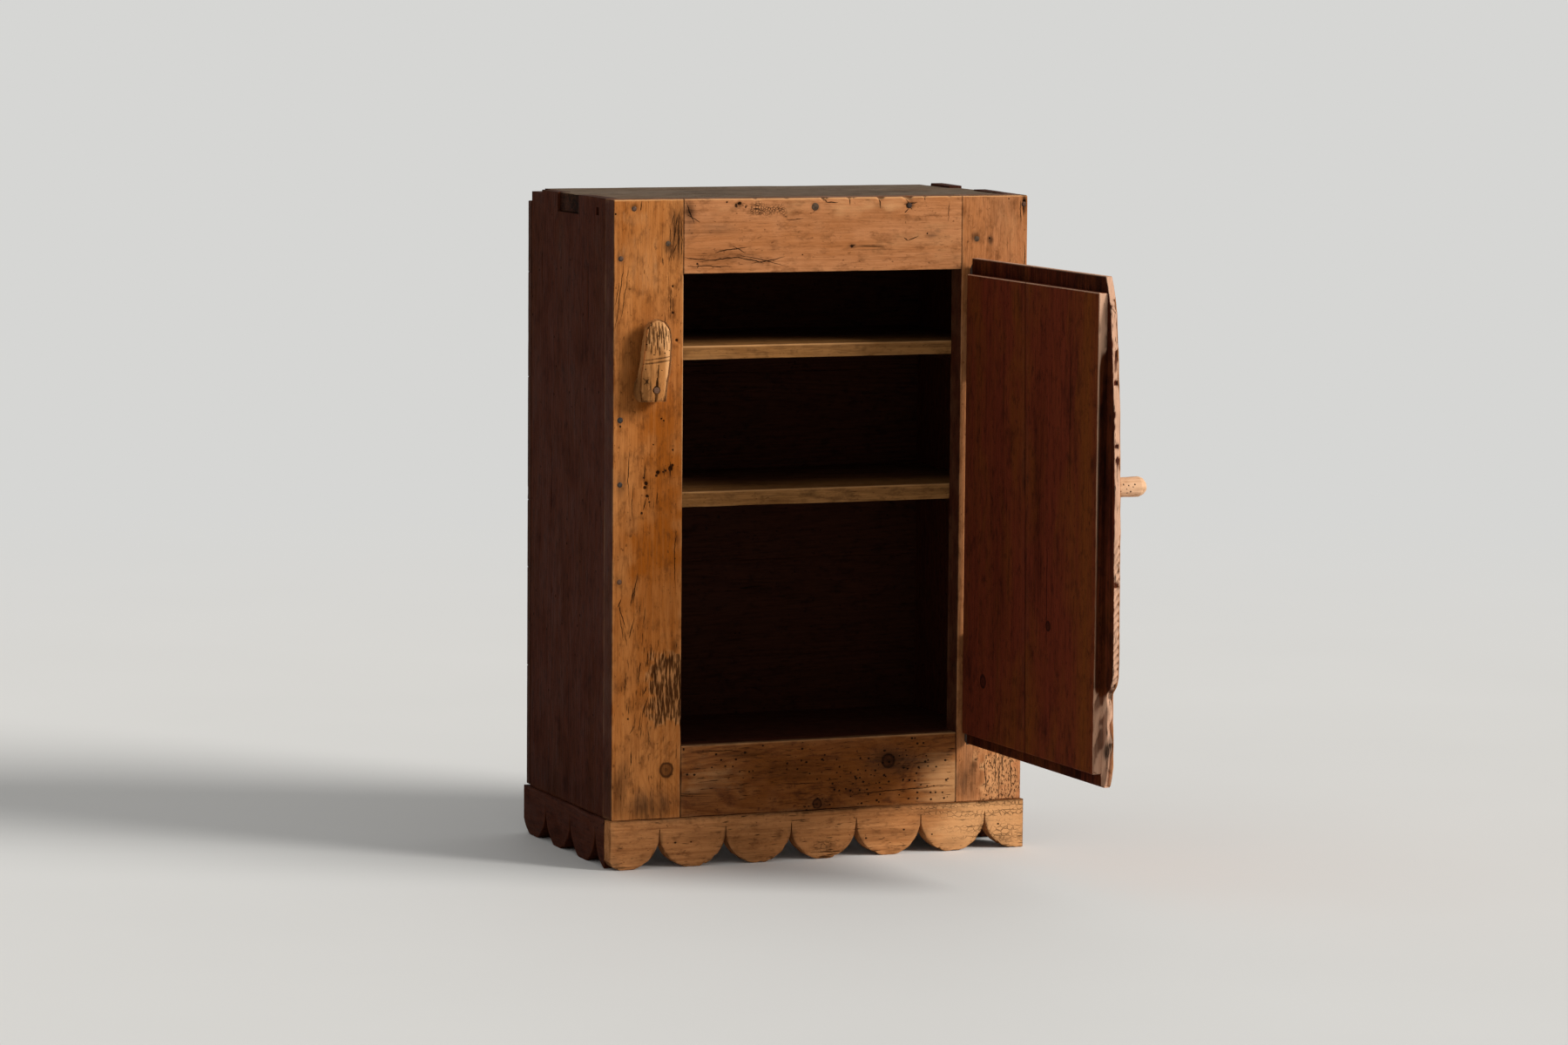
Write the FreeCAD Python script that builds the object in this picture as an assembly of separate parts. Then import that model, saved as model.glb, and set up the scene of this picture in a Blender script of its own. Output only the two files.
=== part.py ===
import FreeCAD, Part
import os

from FreeCAD import Vector

# An old pine cupboard: a face frame nailed to two side boards, one lipped plank door hung on the
# right, two shelves, a horizontally planked back and a scalloped plinth.
# Sizes are in millimetres. X runs to the right, Y to the back and Z up.
# The origin is the middle of the cupboard's footprint, on the floor.

# The whole cupboard
width = 735.0
height = 1100.0
depth = 418.0
skirt_height = 82.0

# Thickness of the boards
side_thick = 24.0
frame_thick = 42.0
top_thick = 32.0
floor_thick = 24.0
upper_shelf_thick = 24.0
lower_shelf_thick = 27.0
back_thick = 16.0
skirt_thick = 28.0

# The face frame
left_stile_width = 121.0
right_stile_width = 119.0
top_rail_width = 122.0
bottom_rail_width = 119.0
tenon_thick = 14.0
tenon_length = 64.0
tenon_shoulder = 16.0
frame_peg_radius = 5.0
frame_peg_inset = 27.0
frame_peg_drop = 72.0
top_peg_radius = 7.0
top_peg_length = 75.0
top_peg_share = 0.479
top_nail_drop = 15.0

# Heights of the boards inside
floor_top = 190.0
upper_shelf_drop = 243.0
lower_shelf_share = 0.64
shelf_slack = 1.0
cleat_width = 22.0
cleat_height = 25.0

# The top board is held by one wide tenon at each end, in a notch open at the top of the side board
top_tenon_width = 102.0
top_tenon_from_front = 170.0
top_tenon_recess = 5.0
rear_step_length = 50.0
rear_step_drop = 5.0
side_rise = 4.0
side_slot_size = 13.0
side_slot_depth = 6.0
side_slot_from_front = 74.0
side_slot_from_top = 16.0

# The back: shares of the planked height at which one board ends and the next begins
back_bottom = 84.0
back_drop = 21.0
back_gap = 0.6
back_joint_shares = [0.205, 0.374, 0.490, 0.700, 0.879]
back_names = ["lowest", "second", "third", "fourth", "fifth", "highest"]

# The scalloped plinth. A lobe is a round of half the pitch, and a saw kerf opens each cusp
skirt_proud = 4.0
front_lobe_pitch = 116.9
front_first_cusp = 83.6
front_lobes = 5
side_lobe_pitch = 121.0
side_first_cusp = 69.0
side_lobes = 2
lobe_centre_height = 57.5
kerf_width = 2.6
kerf_top = 62.0
broken_corner_width = 10.0
broken_corner_height = 14.0
block_size = 40.0
block_clearance = 22.0
block_top = 140.0

# The door: a slab with a lip that laps the frame and a thicker middle that fits the opening
door_gap = 3.0
door_bottom_gap = 2.5
door_top_gap = 6.5
door_seat_gap = 0.5
lip_thick = 12.0
panel_thick = 15.0
lip_below = 18.0
lip_above = 19.0
hinge_lip = 10.5
rest_angle = 91.25
joint_at_top = 223.0
joint_at_bottom = 246.0
dowel_radius = 5.0
dowel_length = 80.0
dowel_height_shares = [0.18, 0.5, 0.82]

# The live edge of the door's free side: how far the lip reaches over the left stile, as shares of
# live_reach, against shares of the lip's height from its bottom
live_reach = 36.0
live_edge_shares = [
    (0.0, 0.24), (0.02, 0.45), (0.044, 0.58), (0.084, 0.59), (0.13, 0.47), (0.187, 0.47), (0.20, 0.76),
    (0.219, 0.96), (0.286, 0.99), (0.44, 0.93), (0.56, 0.88), (0.66, 0.85), (0.744, 0.70),
    (0.812, 0.57), (0.93, 0.31), (0.963, 0.08), (0.98, -0.07), (1.0, -0.28),
]

# The hinges: long forged barrels beside the lip, with leaves let in flush
hinge_height = 180.0
hinge_below_lip_top = 16.0
hinge_above_lip_bottom = 2.0
barrel_radius = 6.0
barrel_to_lip = 7.5
hinge_pin_radius = 3.2
hinge_pin_play = 0.05
knuckles = 3
knuckle_gap = 0.4
knuckle_clearance = 0.5
leaf_width = 38.0
leaf_thick = 2.5
leaf_proud = 1.0
finial_radius = 4.6
finial_height = 5.0
finial_sides = 8
leaf_nails = 3
leaf_nail_inset = 24.0
leaf_nail_shank = 3.0
leaf_nail_head = 8.0
leaf_nail_head_rise = 1.0
leaf_nail_length = 20.0

# The knob: a whittled peg, thicker towards its domed end, with a round tenon in the slab
knob_height_share = 0.587
knob_from_panel_edge = 13.0
knob_length = 69.0
knob_root_radius = 16.0
knob_end_radius = 17.5
knob_dome = 11.0
knob_sides = 14
# The whittled end as two bevels: shares of the dome's height and of the end radius
knob_bevel_shares = [(0.6, 0.84), (1.0, 0.45)]
knob_tenon_radius = 8.0
knob_tenon_length = 20.0

# The turn button: full thickness round its nail, undercut beyond so that it clears the door's lip
button_length = 136.0
button_width = 46.0
button_thick = 33.0
button_arm_clearance = 1.5
button_foot_radius = 30.0
button_seat_gap = 0.4
button_bevel = 2.5
button_nail_from_end = 20.0
button_nail_drop = 308.0
button_nail_from_left = 63.0
button_nail_radius = 2.6
button_nail_play = 0.05
button_nail_head_radius = 5.0
button_nail_head = 2.6
button_sink_radius = 6.0
button_sink = 3.0
button_nail_depth = 30.0
# Its whittled outline, going up the right side and down the left: shares of its width from the
# nail's line, against shares of its length from the lower end
button_outline_shares = [
    (-0.56, 0.0), (0.40, 0.0), (0.42, 0.11), (0.47, 0.235), (0.56, 0.34), (0.59, 0.49), (0.625, 0.72),
    (0.565, 0.875), (0.38, 0.965), (0.09, 1.0), (-0.20, 0.965), (-0.36, 0.885), (-0.43, 0.73),
    (-0.50, 0.50), (-0.595, 0.345), (-0.635, 0.12),
]

# Nails: square shanks and low four-sided heads
nail_shank = 4.0
nail_head = 10.0
nail_head_rise = 1.6
frame_nail_length = 75.0
back_nail_length = 38.0
front_skirt_nail_length = 72.0
side_skirt_nail_length = 60.0
skirt_nail_offset = 8.0
cleat_nail_length = 38.0
# Places along the cupboard's height, as shares of it, for the nails down each stile
stile_nail_shares = [0.433, 0.578, 0.674, 0.913]
# Places across its width, as shares of it, for the nails along the top
top_nail_shares = [0.047, 0.708, 0.990]

# How far a cutter runs past what it cuts
over = 2.0

# Places worked out from the sizes above
left = -width / 2
right = width / 2
front = -depth / 2
back = depth / 2
frame_back = front + frame_thick
side_back = back - back_thick
inner_left = left + side_thick
inner_right = right - side_thick
opening_left = left + left_stile_width
opening_right = right - right_stile_width
opening_bottom = skirt_height + bottom_rail_width
opening_top = height - top_rail_width

lip_back = front - door_seat_gap
lip_front = lip_back - lip_thick
panel_back = lip_back + panel_thick
panel_left = opening_left + door_gap
panel_right = opening_right - door_gap
panel_bottom = opening_bottom + door_bottom_gap
panel_top = opening_top - door_top_gap
lip_right = opening_right + hinge_lip
lip_bottom = opening_bottom - lip_below
lip_top = opening_top + lip_above
lip_height = lip_top - lip_bottom

hinge_x = lip_right + barrel_to_lip
hinge_y = lip_front + barrel_radius
lower_hinge_bottom = lip_bottom + hinge_above_lip_bottom
upper_hinge_bottom = lip_top - hinge_below_lip_top - hinge_height
knuckle_pitch = hinge_height / knuckles

upper_shelf_top = height - upper_shelf_drop
lower_shelf_top = floor_top + (upper_shelf_top - floor_top) * lower_shelf_share
back_top = height - back_drop
knob_height = lip_bottom + lip_height * knob_height_share
button_nail_height = height - button_nail_drop

os.makedirs("parts", exist_ok=True)


def save(name, *solids):
    """Write one node: a single solid, or a group of separate solids."""
    shape = solids[0] if len(solids) == 1 else Part.makeCompound(list(solids))
    shape.exportStep("parts/" + name + ".step")


def block(x, y, z):
    """A box between two places along each axis."""
    corner = Vector(x[0], y[0], z[0])
    return Part.makeBox(x[1] - x[0], y[1] - y[0], z[1] - z[0], corner)


def rod(start, direction, length, radius):
    return Part.makeCylinder(radius, length, start, direction)


def along_y(points, y_from, y_to):
    """A solid from an outline of (x, z) points, between two depths."""
    corners = [Vector(x, y_from, z) for x, z in points]
    face = Part.Face(Part.makePolygon(corners + corners[:1]))
    return face.extrude(Vector(0, y_to - y_from, 0))


def along_x(points, x_from, x_to):
    """A solid from an outline of (y, z) points, between two places across the width."""
    corners = [Vector(x_from, y, z) for y, z in points]
    face = Part.Face(Part.makePolygon(corners + corners[:1]))
    return face.extrude(Vector(x_to - x_from, 0, 0))


def nail(place, direction, length, shank_side=nail_shank, head_side=nail_head, rise=nail_head_rise):
    """A forged nail: a square shank that goes in along direction, and a low head on the surface."""
    shank = Part.makeBox(shank_side, shank_side, length, Vector(-shank_side / 2, -shank_side / 2, -length))
    half = head_side / 2
    ring = [Vector(-half, -half, 0), Vector(half, -half, 0), Vector(half, half, 0), Vector(-half, half, 0)]
    crown = [corner * (1 / 3) + Vector(0, 0, rise) for corner in ring]
    head = Part.makeLoft([Part.makePolygon(ring + ring[:1]), Part.makePolygon(crown + crown[:1])], True, True)
    body = head.fuse(shank)
    turn = FreeCAD.Rotation(Vector(0, 0, 1), direction * -1)
    body.Placement = FreeCAD.Placement(place, turn)
    return body


def whittled(rings, sides):
    """A faceted round about Z, through (radius, level) rings, as flat faces."""
    corners = []
    for radius, level in rings:
        start = Vector(radius, 0, level)
        turns = [FreeCAD.Rotation(Vector(0, 0, 1), 360 * count / sides) for count in range(sides)]
        corners.append([turn.multVec(start) for turn in turns])
    faces = [Part.Face(Part.makePolygon(ring + ring[:1])) for ring in (corners[0], corners[-1])]
    for lower, upper in zip(corners, corners[1:]):
        for count in range(sides):
            after = (count + 1) % sides
            loop = [lower[count], lower[after], upper[after], upper[count], lower[count]]
            faces.append(Part.Face(Part.makePolygon(loop)))
    body = Part.Solid(Part.makeShell(faces))
    body.fix(1e-6, 1e-6, 1e-6)
    return body


def opened(shape):
    """Swing a door piece from closed to the angle that it rests at."""
    turned = shape.copy()
    turned.rotate(Vector(hinge_x, hinge_y, 0), Vector(0, 0, 1), rest_angle)
    return turned


# The face frame

def rail(z_from, z_to):
    """A rail with a tenon at each end, between the stiles."""
    body = block((opening_left, opening_right), (front, frame_back), (z_from, z_to))
    middle = (front + frame_back) / 2
    tenon_y = (middle - tenon_thick / 2, middle + tenon_thick / 2)
    tenon_x = (opening_left - tenon_length, opening_right + tenon_length)
    tenon_z = (z_from + tenon_shoulder, z_to - tenon_shoulder)
    return body.fuse(block(tenon_x, tenon_y, tenon_z)).removeSplitter()


def frame_pegs():
    """A peg through each tenon of the top rail."""
    return [rod(Vector(x, front, height - frame_peg_drop), Vector(0, 1, 0), frame_thick, frame_peg_radius)
            for x in (opening_left - frame_peg_inset, opening_right + frame_peg_inset)]


def top_peg():
    """The thick peg through the top rail into the top board."""
    place = Vector(left + width * top_peg_share, front, height - top_nail_drop)
    return rod(place, Vector(0, 1, 0), top_peg_length, top_peg_radius)


def leaf_recess(hinge_bottom):
    """The shallow place in the right stile's face that takes a hinge leaf."""
    return block((hinge_x - over, hinge_x + leaf_width), (front - over, front + leaf_thick - leaf_proud),
                 (hinge_bottom, hinge_bottom + hinge_height))


def make_frame():
    pegs = frame_pegs()
    top_rail = rail(opening_top, height)
    bottom_rail = rail(skirt_height, opening_bottom)
    left_stile = block((left, opening_left), (front, frame_back), (skirt_height, height))
    right_stile = block((opening_right, right), (front, frame_back), (skirt_height, height))
    for tenoned in (top_rail, bottom_rail):
        left_stile = left_stile.cut(tenoned)
        right_stile = right_stile.cut(tenoned)
    for peg in pegs:
        left_stile = left_stile.cut(peg)
        right_stile = right_stile.cut(peg)
        top_rail = top_rail.cut(peg)
    top_rail = top_rail.cut(top_peg())
    for bottom in (lower_hinge_bottom, upper_hinge_bottom):
        right_stile = right_stile.cut(leaf_recess(bottom))
    save("left_stile", left_stile)
    save("right_stile", right_stile)
    save("top_rail", top_rail)
    save("bottom_rail", bottom_rail)
    save("frame_pegs", *pegs, top_peg())


# The case

def side_board(x_from, x_to):
    """A side board with the notch for the top board's tenon and the step at its back."""
    board = block((x_from, x_to), (frame_back, side_back), (skirt_height, height))
    notch_y = (front + top_tenon_from_front, front + top_tenon_from_front + top_tenon_width)
    notch = block((x_from - over, x_to + over), notch_y, (height - top_thick, height + over))
    step = block((x_from - over, x_to + over), (side_back - rear_step_length, side_back + over),
                 (height - rear_step_drop, height + over))
    return board.cut(notch).cut(step)


def make_case():
    left_board = side_board(left, inner_left)
    slot_y = (front + side_slot_from_front, front + side_slot_from_front + side_slot_size)
    slot_z = (height - side_slot_from_top - side_slot_size, height - side_slot_from_top)
    slot = block((left - over, left + side_slot_depth), slot_y, slot_z)
    save("left_side_board", left_board.cut(slot))

    # The right board stands a little above the top, more towards the back
    rise = along_x([(frame_back, height), (side_back - rear_step_length, height + side_rise),
                    (side_back, height + side_rise), (side_back, height - rear_step_drop),
                    (side_back - rear_step_length, height - rear_step_drop),
                    (side_back - rear_step_length, height)], inner_right, right)
    notch_y = (front + top_tenon_from_front, front + top_tenon_from_front + top_tenon_width)
    notch = block((inner_right - over, right + over), notch_y,
                  (height - top_thick, height + side_rise + over))
    save("right_side_board", side_board(inner_right, right).fuse(rise).cut(notch).removeSplitter())

    top = block((inner_left, inner_right), (frame_back, side_back), (height - top_thick, height))
    tongue = block((left + top_tenon_recess, right - top_tenon_recess), notch_y, (height - top_thick, height))
    save("top_board", top.fuse(tongue).removeSplitter().cut(top_peg()))

    save("floor_board", block((inner_left, inner_right), (frame_back, side_back),
                              (floor_top - floor_thick, floor_top)))
    for name, top_level, thick in (("upper", upper_shelf_top, upper_shelf_thick),
                                   ("lower", lower_shelf_top, lower_shelf_thick)):
        shelf = block((inner_left + shelf_slack, inner_right - shelf_slack),
                      (frame_back, side_back - shelf_slack), (top_level - thick, top_level))
        save(name + "_shelf", shelf)


def cleat_levels():
    """Name and top of the pair of cleats under each board inside."""
    return (("upper_shelf", upper_shelf_top - upper_shelf_thick),
            ("lower_shelf", lower_shelf_top - lower_shelf_thick),
            ("floor", floor_top - floor_thick))


def make_cleats():
    nails = []
    run = (frame_back, side_back)
    for name, level in cleat_levels():
        z = (level - cleat_height, level)
        save(name + "_left_cleat", block((inner_left, inner_left + cleat_width), run, z))
        save(name + "_right_cleat", block((inner_right - cleat_width, inner_right), run, z))
        for share in (1 / 6, 5 / 6):
            y = run[0] + (run[1] - run[0]) * share
            middle = level - cleat_height / 2
            for face, outward in ((inner_left + cleat_width, -1), (inner_right - cleat_width, 1)):
                nails.append(nail(Vector(face, y, middle), Vector(outward, 0, 0), cleat_nail_length))
    save("cleat_nails", *nails)


def back_levels():
    """Bottom and top of each back board."""
    reach = back_top - back_bottom
    joints = [back_bottom] + [back_bottom + reach * share for share in back_joint_shares] + [back_top]
    return [(low + back_gap / 2, high - back_gap / 2) for low, high in zip(joints, joints[1:])]


def make_back():
    nails = []
    for name, (low, high) in zip(back_names, back_levels()):
        save("back_board_" + name, block((left, right), (side_back, back), (low, high)))
        for x in (left + side_thick / 2, right - side_thick / 2):
            for share in (1 / 5, 4 / 5):
                place = Vector(x, back - nail_head_rise, low + (high - low) * share)
                nails.append(nail(place, Vector(0, -1, 0), back_nail_length))
    save("back_nails", *nails)


def make_frame_nails():
    """Nails through the stiles into the side boards, and through the top rail into the top board."""
    nails = []
    inward = Vector(0, 1, 0)
    for share in stile_nail_shares:
        nails.append(nail(Vector(left + side_thick / 2, front, height * share), inward, frame_nail_length))
    for share in stile_nail_shares[:-1]:
        nails.append(nail(Vector(right - side_thick / 2, front, height * share), inward, frame_nail_length))
    for share in top_nail_shares:
        place = Vector(left + width * share, front, height - top_nail_drop)
        nails.append(nail(place, inward, frame_nail_length))
    save("frame_nails", *nails)


# The plinth

def lobe_profile_cut(cusps, pitch, extrude):
    """What is sawn away at each cusp: the space between two round lobes, and the kerf above it."""
    radius = pitch / 2
    waste = []
    for cusp in cusps:
        gap = extrude([(cusp - radius, -over), (cusp + radius, -over),
                       (cusp + radius, lobe_centre_height), (cusp - radius, lobe_centre_height)])
        for centre in (cusp - radius, cusp + radius):
            gap = gap.cut(lobe_round(centre, radius, extrude))
        waste.append(gap)
        waste.append(extrude([(cusp - kerf_width / 2, lobe_centre_height - kerf_top / 2),
                              (cusp + kerf_width / 2, lobe_centre_height - kerf_top / 2),
                              (cusp + kerf_width / 4, kerf_top), (cusp - kerf_width / 4, kerf_top)]))
    return waste


def lobe_round(centre, radius, extrude):
    """The cylinder of one lobe, through the board that extrude makes."""
    if extrude is across_front:
        start = Vector(centre, front - skirt_proud - over, lobe_centre_height)
        return rod(start, Vector(0, 1, 0), skirt_thick + over * 2, radius)
    start = Vector(left - skirt_proud - over, centre, lobe_centre_height)
    return rod(start, Vector(1, 0, 0), skirt_thick + over * 2, radius)


def across_front(points):
    return along_y(points, front - skirt_proud - over, front - skirt_proud + skirt_thick + over)


def across_side(points):
    return along_x(points, left - skirt_proud - over, left - skirt_proud + skirt_thick + over)


def mirrored(shape):
    return shape.mirror(Vector(0, 0, 0), Vector(1, 0, 0))


def make_plinth():
    front_y = (front - skirt_proud, front - skirt_proud + skirt_thick)
    front_board = block((left - skirt_proud, right + skirt_proud), front_y, (0, skirt_height))
    cusps = [left + front_first_cusp + front_lobe_pitch * count for count in range(front_lobes + 1)]
    for waste in lobe_profile_cut(cusps, front_lobe_pitch, across_front):
        front_board = front_board.cut(waste)
    corner = left - skirt_proud
    front_board = front_board.cut(across_front([(corner - over, -over), (corner + broken_corner_width, -over),
                                                (corner + broken_corner_width, 0),
                                                (corner, broken_corner_height),
                                                (corner - over, broken_corner_height)]))
    save("front_skirt", front_board)

    side_x = (left - skirt_proud, left - skirt_proud + skirt_thick)
    side_y = (front_y[1], back + skirt_proud)
    side = block(side_x, side_y, (0, skirt_height))
    cusps = [front + side_first_cusp + side_lobe_pitch * count for count in range(side_lobes + 1)]
    for waste in lobe_profile_cut(cusps, side_lobe_pitch, across_side):
        side = side.cut(waste)
    radius = side_lobe_pitch / 2
    last_centre = cusps[-1] + radius
    rounding = across_side([(last_centre, -over), (side_y[1] + over, -over),
                            (side_y[1] + over, lobe_centre_height), (last_centre, lobe_centre_height)])
    side = side.cut(rounding.cut(lobe_round(last_centre, radius, across_side)))
    save("left_skirt", side)
    save("right_skirt", mirrored(side))

    # Corner blocks: the front ones run forward under the frame to the front skirt
    z = (block_clearance, block_top)
    rear = block((inner_left, inner_left + block_size), (side_back - block_size, side_back), z)
    upright = block((inner_left, inner_left + block_size), (frame_back, frame_back + block_size), z)
    foot = block((inner_left, inner_left + block_size), (front_y[1], frame_back + block_size),
                 (block_clearance, skirt_height))
    fore = upright.fuse(foot).removeSplitter()
    save("front_left_block", fore)
    save("front_right_block", mirrored(fore))
    save("rear_left_block", rear)
    save("rear_right_block", mirrored(rear))

    # Nails from inside the plinth, through the blocks into the skirts. The two ways in pass each other
    nails = []
    level = (lobe_centre_height + skirt_height) / 2
    for x in (inner_left + block_size / 2, inner_right - block_size / 2):
        place = Vector(x, frame_back + block_size, level + skirt_nail_offset)
        nails.append(nail(place, Vector(0, -1, 0), front_skirt_nail_length))
    for y in (frame_back + block_size / 2, side_back - block_size / 2):
        place = Vector(inner_left + block_size, y, level - skirt_nail_offset)
        nails.append(nail(place, Vector(-1, 0, 0), side_skirt_nail_length))
        place = Vector(inner_right - block_size, y, level - skirt_nail_offset)
        nails.append(nail(place, Vector(1, 0, 0), side_skirt_nail_length))
    save("skirt_nails", *nails)


# The door

def live_edge():
    """The wavy outer edge as a smooth curve from the lip's bottom to its top."""
    points = []
    for height_share, reach_share in live_edge_shares:
        x = opening_left - live_reach * reach_share
        points.append(Vector(x, lip_front, lip_bottom + lip_height * height_share))
    curve = Part.BSplineCurve()
    curve.interpolate(points)
    return curve.toShape(), points


def lip_slab():
    edge, points = live_edge()
    low = Vector(lip_right, lip_front, lip_bottom)
    high = Vector(lip_right, lip_front, lip_top)
    straight = [Part.makeLine(points[-1], high), Part.makeLine(high, low), Part.makeLine(low, points[0])]
    wire = Part.Wire([edge] + straight)
    return Part.Face(wire).extrude(Vector(0, lip_thick, 0))


def make_door():
    panel = block((panel_left, panel_right), (lip_back, panel_back), (panel_bottom, panel_top))
    slab = lip_slab().fuse(panel).removeSplitter()

    # The two boards meet on a line that leans a little
    past = lip_right + over
    upper = lip_top + over
    lower = lip_bottom - over
    hinge_half = along_y([(opening_right - joint_at_top, upper), (past, upper), (past, lower),
                          (opening_right - joint_at_bottom, lower)], lip_front - over, panel_back + over)
    hinge_board = slab.common(hinge_half)
    edge_board = slab.cut(hinge_half)

    dowels = []
    middle = (lip_front + panel_back) / 2
    for share in dowel_height_shares:
        z = panel_bottom + (panel_top - panel_bottom) * share
        joint_x = opening_right - joint_at_bottom + (joint_at_bottom - joint_at_top) * share
        start = Vector(joint_x - dowel_length / 2, middle, z)
        dowels.append(rod(start, Vector(1, 0, 0), dowel_length, dowel_radius))
    for dowel in dowels:
        hinge_board = hinge_board.cut(dowel)
        edge_board = edge_board.cut(dowel)
    for bottom in (lower_hinge_bottom, upper_hinge_bottom):
        hinge_board = hinge_board.cut(door_leaf_plate(bottom, over))

    socket_at = Vector(panel_left + knob_from_panel_edge, lip_front, knob_height)
    socket = rod(socket_at, Vector(0, 1, 0), knob_tenon_length, knob_tenon_radius)
    edge_board = edge_board.cut(socket)

    save("door_hinge_board", opened(hinge_board))
    save("door_edge_board", opened(edge_board))
    save("door_dowels", *[opened(dowel) for dowel in dowels])
    save("door_knob", opened(knob(socket_at)))


def knob(place):
    """The knob about its own axis, which points out of the door: tenon, tapered shaft and whittled end."""
    tenon = Part.makeCylinder(knob_tenon_radius, knob_tenon_length, Vector(0, 0, -knob_tenon_length))
    shoulder = knob_length - knob_dome
    rings = [(knob_root_radius, 0), (knob_end_radius, shoulder)]
    for height_share, radius_share in knob_bevel_shares:
        rings.append((knob_end_radius * radius_share, shoulder + knob_dome * height_share))
    body = whittled(rings, knob_sides).fuse(tenon)
    body.Placement = FreeCAD.Placement(place, FreeCAD.Rotation(Vector(0, 0, 1), Vector(0, -1, 0)))
    return body


# The hinges

def knuckle(bottom, count, radius, extra):
    """One length of the barrel, as far as the next less a gap, or more when it is a cutter."""
    low = bottom + knuckle_pitch * count + knuckle_gap / 2 - extra
    length = knuckle_pitch - knuckle_gap + extra * 2
    return rod(Vector(hinge_x, hinge_y, low), Vector(0, 0, 1), length, radius)


def door_leaf_plate(bottom, extra):
    """The door's leaf, flush with the lip's face. Extra lets it run past the board as a cutter."""
    return block((hinge_x - leaf_width, hinge_x + extra - over), (lip_front - extra, lip_front + leaf_thick),
                 (bottom, bottom + hinge_height))


def leaf_nail_heights(bottom):
    return [bottom + hinge_height * (count + 1 / 2) / leaf_nails for count in range(leaf_nails)]


def leaf_nail(x, y, z):
    return nail(Vector(x, y, z), Vector(0, 1, 0), leaf_nail_length, leaf_nail_shank, leaf_nail_head,
                leaf_nail_head_rise)


def make_hinge(name, bottom):
    clear_radius = barrel_radius + knuckle_clearance
    frame_leaf = block((hinge_x, hinge_x + leaf_width), (front - leaf_proud, front + leaf_thick - leaf_proud),
                       (bottom, bottom + hinge_height))
    door_leaf = block((hinge_x - leaf_width, hinge_x), (lip_front, lip_front + leaf_thick),
                      (bottom, bottom + hinge_height))
    for count in range(knuckles):
        keep_out = knuckle(bottom, count, clear_radius, knuckle_gap)
        own = knuckle(bottom, count, barrel_radius, 0)
        if count % 2:
            frame_leaf = frame_leaf.cut(keep_out)
            door_leaf = door_leaf.fuse(own)
        else:
            door_leaf = door_leaf.cut(keep_out)
            low = bottom + knuckle_pitch * count + knuckle_gap / 2
            web = block((hinge_x, hinge_x + barrel_radius / 2), (hinge_y, front + leaf_thick - leaf_proud),
                        (low, low + knuckle_pitch - knuckle_gap))
            frame_leaf = frame_leaf.fuse(own).fuse(web)
    pin_from = Vector(hinge_x, hinge_y, bottom)
    pin = rod(pin_from, Vector(0, 0, 1), hinge_height, hinge_pin_radius)
    frame_leaf = frame_leaf.cut(pin)
    bore = rod(pin_from, Vector(0, 0, 1), hinge_height, hinge_pin_radius + hinge_pin_play)
    door_leaf = door_leaf.cut(bore)
    upper_finial = whittled([(finial_radius, 0), (finial_radius / 2, finial_height)], finial_sides)
    lower_finial = upper_finial.mirror(Vector(0, 0, 0), Vector(0, 0, 1))
    upper_finial.translate(pin_from + Vector(0, 0, hinge_height))
    lower_finial.translate(pin_from)

    frame_nails = []
    door_nails = []
    for z in leaf_nail_heights(bottom):
        frame_nails.append(leaf_nail(hinge_x + leaf_nail_inset, front - leaf_proud, z))
        door_nails.append(leaf_nail(hinge_x - leaf_nail_inset, lip_front, z))
    for driven in frame_nails:
        frame_leaf = frame_leaf.cut(driven)
    for driven in door_nails:
        door_leaf = door_leaf.cut(driven)
    save(name + "_hinge_frame_leaf", frame_leaf.removeSplitter())
    save(name + "_hinge_door_leaf", opened(door_leaf.removeSplitter()))
    save(name + "_hinge_pin", pin.fuse(upper_finial).fuse(lower_finial).removeSplitter())
    return frame_nails, door_nails


def make_hinges():
    on_frame = []
    on_door = []
    for name, bottom in (("upper", upper_hinge_bottom), ("lower", lower_hinge_bottom)):
        frame_nails, door_nails = make_hinge(name, bottom)
        on_frame += frame_nails
        on_door += door_nails
    save("hinge_frame_nails", *on_frame)
    save("hinge_door_nails", *[opened(driven) for driven in on_door])


# The turn button

def make_button():
    nail_x = left + button_nail_from_left
    low = button_nail_height - button_nail_from_end
    face_y = front - button_thick
    inward = Vector(0, 1, 0)
    outline = [(nail_x + button_width * across, low + button_length * up)
               for across, up in button_outline_shares]
    body = along_y(outline, face_y, front - button_seat_gap)
    rim = [edge for edge in body.Edges if edge.BoundBox.YMax < face_y + button_bevel]
    body = body.makeChamfer(button_bevel, rim)

    # The arm is undercut so that it passes in front of the door's lip
    arm_back = lip_front - button_arm_clearance
    axis_at = Vector(nail_x, face_y, button_nail_height)
    behind = block((nail_x - button_length, nail_x + button_length), (arm_back, front + over),
                   (low - button_length, low + button_length * 2))
    foot = rod(axis_at, inward, button_thick + over * 2, button_foot_radius)
    body = body.cut(behind.cut(foot))

    bore = rod(axis_at, inward, button_thick, button_nail_radius + button_nail_play)
    sink = rod(axis_at, inward, button_sink, button_sink_radius)
    save("turn_button", body.cut(bore).cut(sink))

    head_from = axis_at + Vector(0, button_sink - button_nail_head - button_seat_gap, 0)
    head = rod(head_from, inward, button_nail_head, button_nail_head_radius)
    shank = rod(head_from, inward, button_thick + button_nail_depth, button_nail_radius)
    save("turn_button_nail", head.fuse(shank).removeSplitter())


make_frame()
make_case()
make_cleats()
make_back()
make_frame_nails()
make_plinth()
make_door()
make_hinges()
make_button()
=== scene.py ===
import bpy
import math
import numpy as np

from mathutils import Matrix, Vector


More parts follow.
